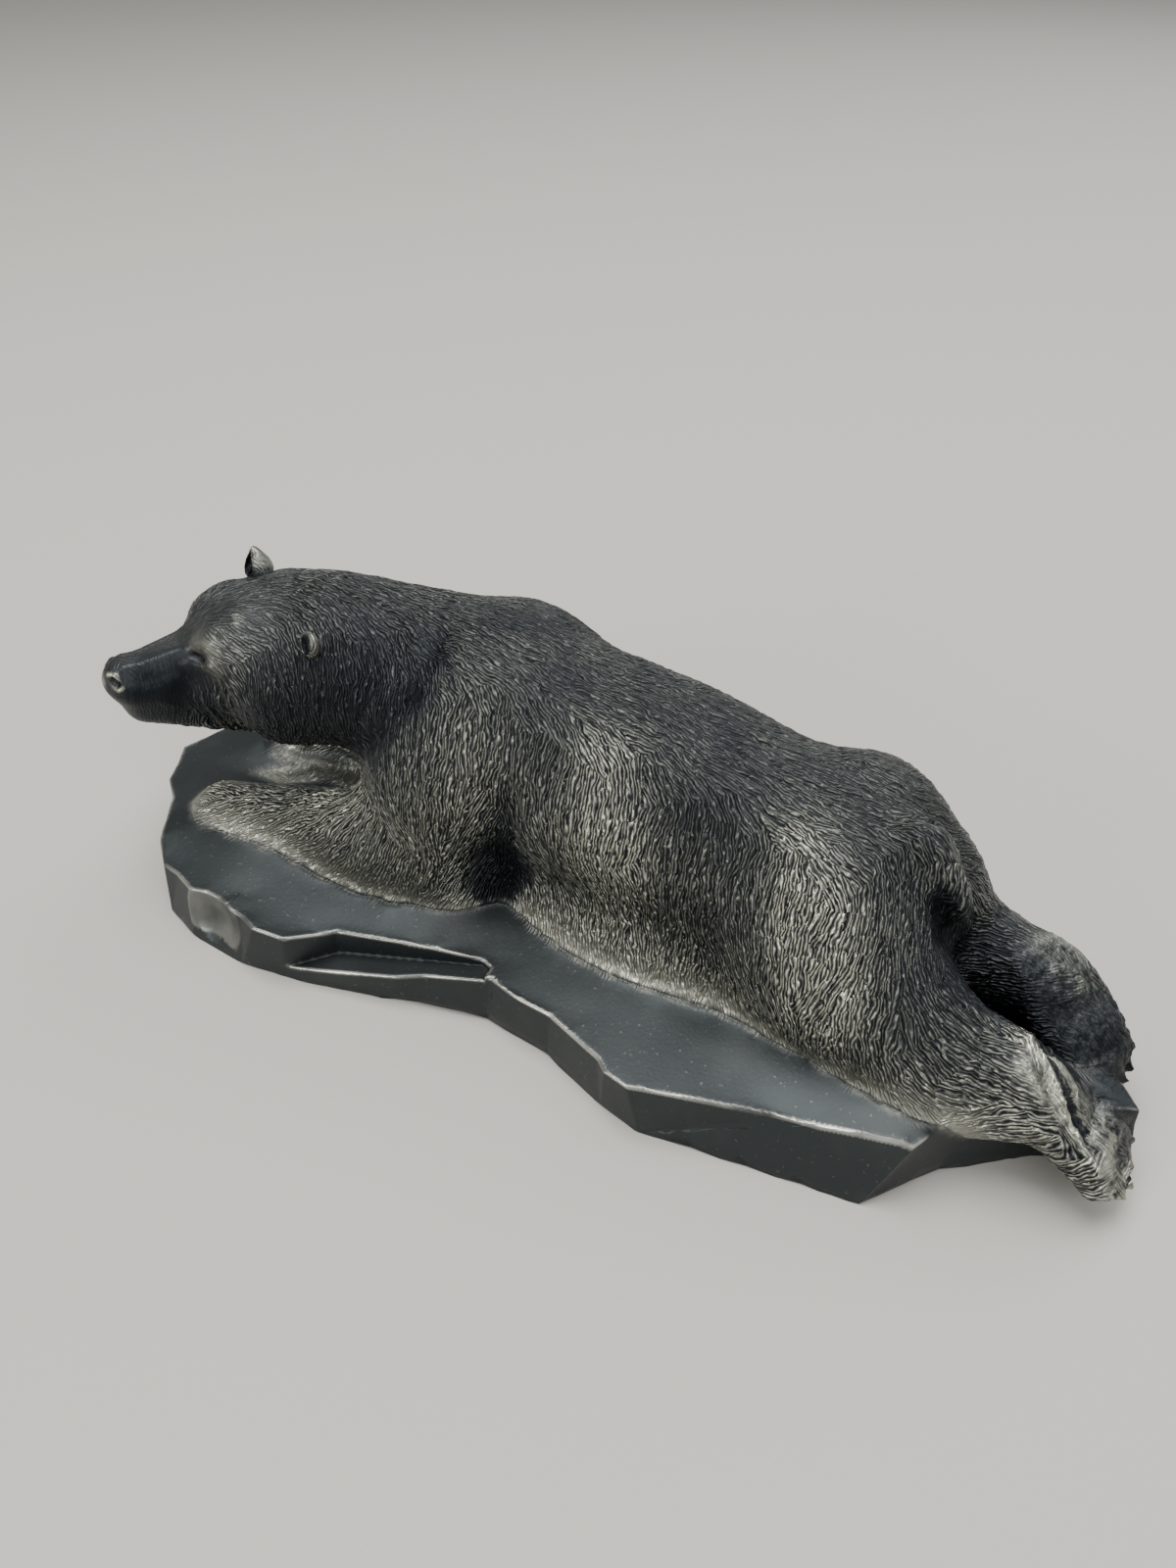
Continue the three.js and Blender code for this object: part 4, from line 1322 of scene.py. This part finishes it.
    def _wear_and_highlights(self, casting: Casting, ridges: Array) -> Array:
        """Finds bright marks along the ice's outward edges, round the scoop's rim and on what stands out of
        ears, soles and nose: wear with painted highlights, and on the nose painted highlights alone.

        Args:
            casting: the finished surface.
            ridges: places along the ice's outward edges.

        Returns:
            Wear and painted highlight at each point, 0 to 1.
        """
        points, form = casting.points, self.form
        foot_wear = np.where(points[:, 1] > 0, self.far_foot_wear_and_sheen, self.near_foot_wear_and_sheen)
        foot = (form.sole_share(points) + form.toe_share(points)) * foot_wear
        # Painted highlights on the nostril rims.
        nose = nearness(points, self.nose, self.nose_reach, 4)
        on_bear = np.clip(self.ear_wear_and_sheen * form.ear_share(points) + foot + nose, 0, 1)
        near = 1 - ease(casting.distance_from(ridges, self.rim_reach), 0.05, 0.5)
        scooped = np.abs(distance_to_path(points, (self.scoop,)) - self.scoop_reach)
        on_ice = np.maximum(near, self.scoop_rim_wear_and_sheen * (1 - ease(scooped, 0.3, 0.6))) * (points[:, 2] > 2.0)
        return np.where(casting.share > 0.99, on_ice, ease(casting.stands_out(4), 0.04, 0.2) * on_bear)

    def _rub_and_sheen(self, casting: Casting) -> Array:
        """Where the colour turns to bright metal, 0 to 1: patina worn off by hands, with painted highlights
        along the places listed; the top of the back gets painted shade instead.
        """
        base = self.base_rub_and_sheen - self.kept_on_top * ease(casting.normals[:, 2], 0.35, 0.85)
        return np.clip(base + stripes_share(casting.points, self.rub_and_sheen_places), 0, 1)


@dataclass
class Studio:
    """Floor, lights and camera."""

    focal_px: float = 1200.0
    frame_px: tuple[int, int] = (1200, 1600)
    camera_mm: Point = (63.5, -113.5, 140.0)
    camera_yaw: float = 30.0
    camera_pitch: float = 40.19
    floor_colour: Colour = (0.48, 0.465, 0.43, 1)
    floor_reach: float = 6.0
    lights: tuple[tuple[str, Point, float, float, Point], ...] = (
        ("key", (-0.15, 0.0, 0.9), 0.6, 10.0, (1.0, 0.985, 0.96)),
        ("fill", (0.6, -0.35, 0.55), 0.5, 2.5, (0.97, 0.98, 1.0)),
        ("window", (-0.4, -0.95, 0.4), 0.45, 5.0, (1.0, 0.99, 0.96)),
        ("back", (0.2, 0.75, 0.7), 0.8, 5.0, (0.95, 0.98, 1.0)),
    )
    air_colour: Colour = (0.88, 0.90, 0.91, 1)
    air_strength: float = 0.38

    def build(self) -> None:
        """Makes the studio."""
        self._floor()
        for light in self.lights:
            self._light(*light)
        self._world()
        self._camera()

    def _floor(self) -> None:
        """A plain pale table top."""
        mesh = bpy.data.meshes.new("floor")
        reach = self.floor_reach
        corners = [(-reach, -reach, 0), (reach, -reach, 0), (reach, reach, 0), (-reach, reach, 0)]
        mesh.from_pydata(corners, [], [(0, 1, 2, 3)])
        floor = add_object("floor", mesh)
        paint = bpy.data.materials.new("floor")
        paint.use_nodes = True
        shader = node_of(paint.node_tree, "BSDF_PRINCIPLED")
        shader.inputs["Base Color"].default_value = self.floor_colour
        shader.inputs["Roughness"].default_value = 0.7
        mesh.materials.append(paint)

    @staticmethod
    def _light(name: str, place: Point, size: float, power: float, colour: Point) -> None:
        """Sets a soft square light aimed at the figure.

        Args:
            name: the light's name.
            place: where it stands, in metres.
            size: its width in metres.
            power: its strength in watts.
            colour: its colour.
        """
        lamp = bpy.data.lights.new(name, "AREA")
        lamp.size = size
        lamp.energy = power
        lamp.color = colour
        light = add_object(name, lamp)
        light.location = place
        light.rotation_euler = (Vector((0, 0, 0.02)) - Vector(place)).to_track_quat("-Z", "Y").to_euler()

    def _world(self) -> None:
        """Even light from all round."""
        world = bpy.data.worlds.new("studio")
        world.use_nodes = True
        backdrop = node_of(world.node_tree, "BACKGROUND")
        backdrop.inputs["Color"].default_value = self.air_colour
        backdrop.inputs["Strength"].default_value = self.air_strength
        bpy.context.scene.world = world

    def _camera(self) -> None:
        """The camera at the photograph's place."""
        lens = bpy.data.cameras.new("camera")
        lens.sensor_width = 36.0
        lens.lens = 36.0 * self.focal_px / max(self.frame_px)
        lens.clip_start = 0.01
        lens.dof.use_dof = False
        camera = add_object("camera", lens)
        camera.location = Vector(self.camera_mm) * MM
        camera.rotation_euler = (math.radians(90 - self.camera_pitch), 0, math.radians(self.camera_yaw))
        bpy.context.scene.camera = camera


def main() -> None:
    """Builds the studio and the casting."""
    logging.basicConfig(level=logging.INFO, format="%(name)s: %(message)s")
    Studio().build()
    log.info("studio: floor, lights and camera")
    piece = PolarBear().build()
    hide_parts(NODE)
    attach(piece, "root")
    log.info("piece: %s", piece.name)


if __name__ == "__main__":
    main()
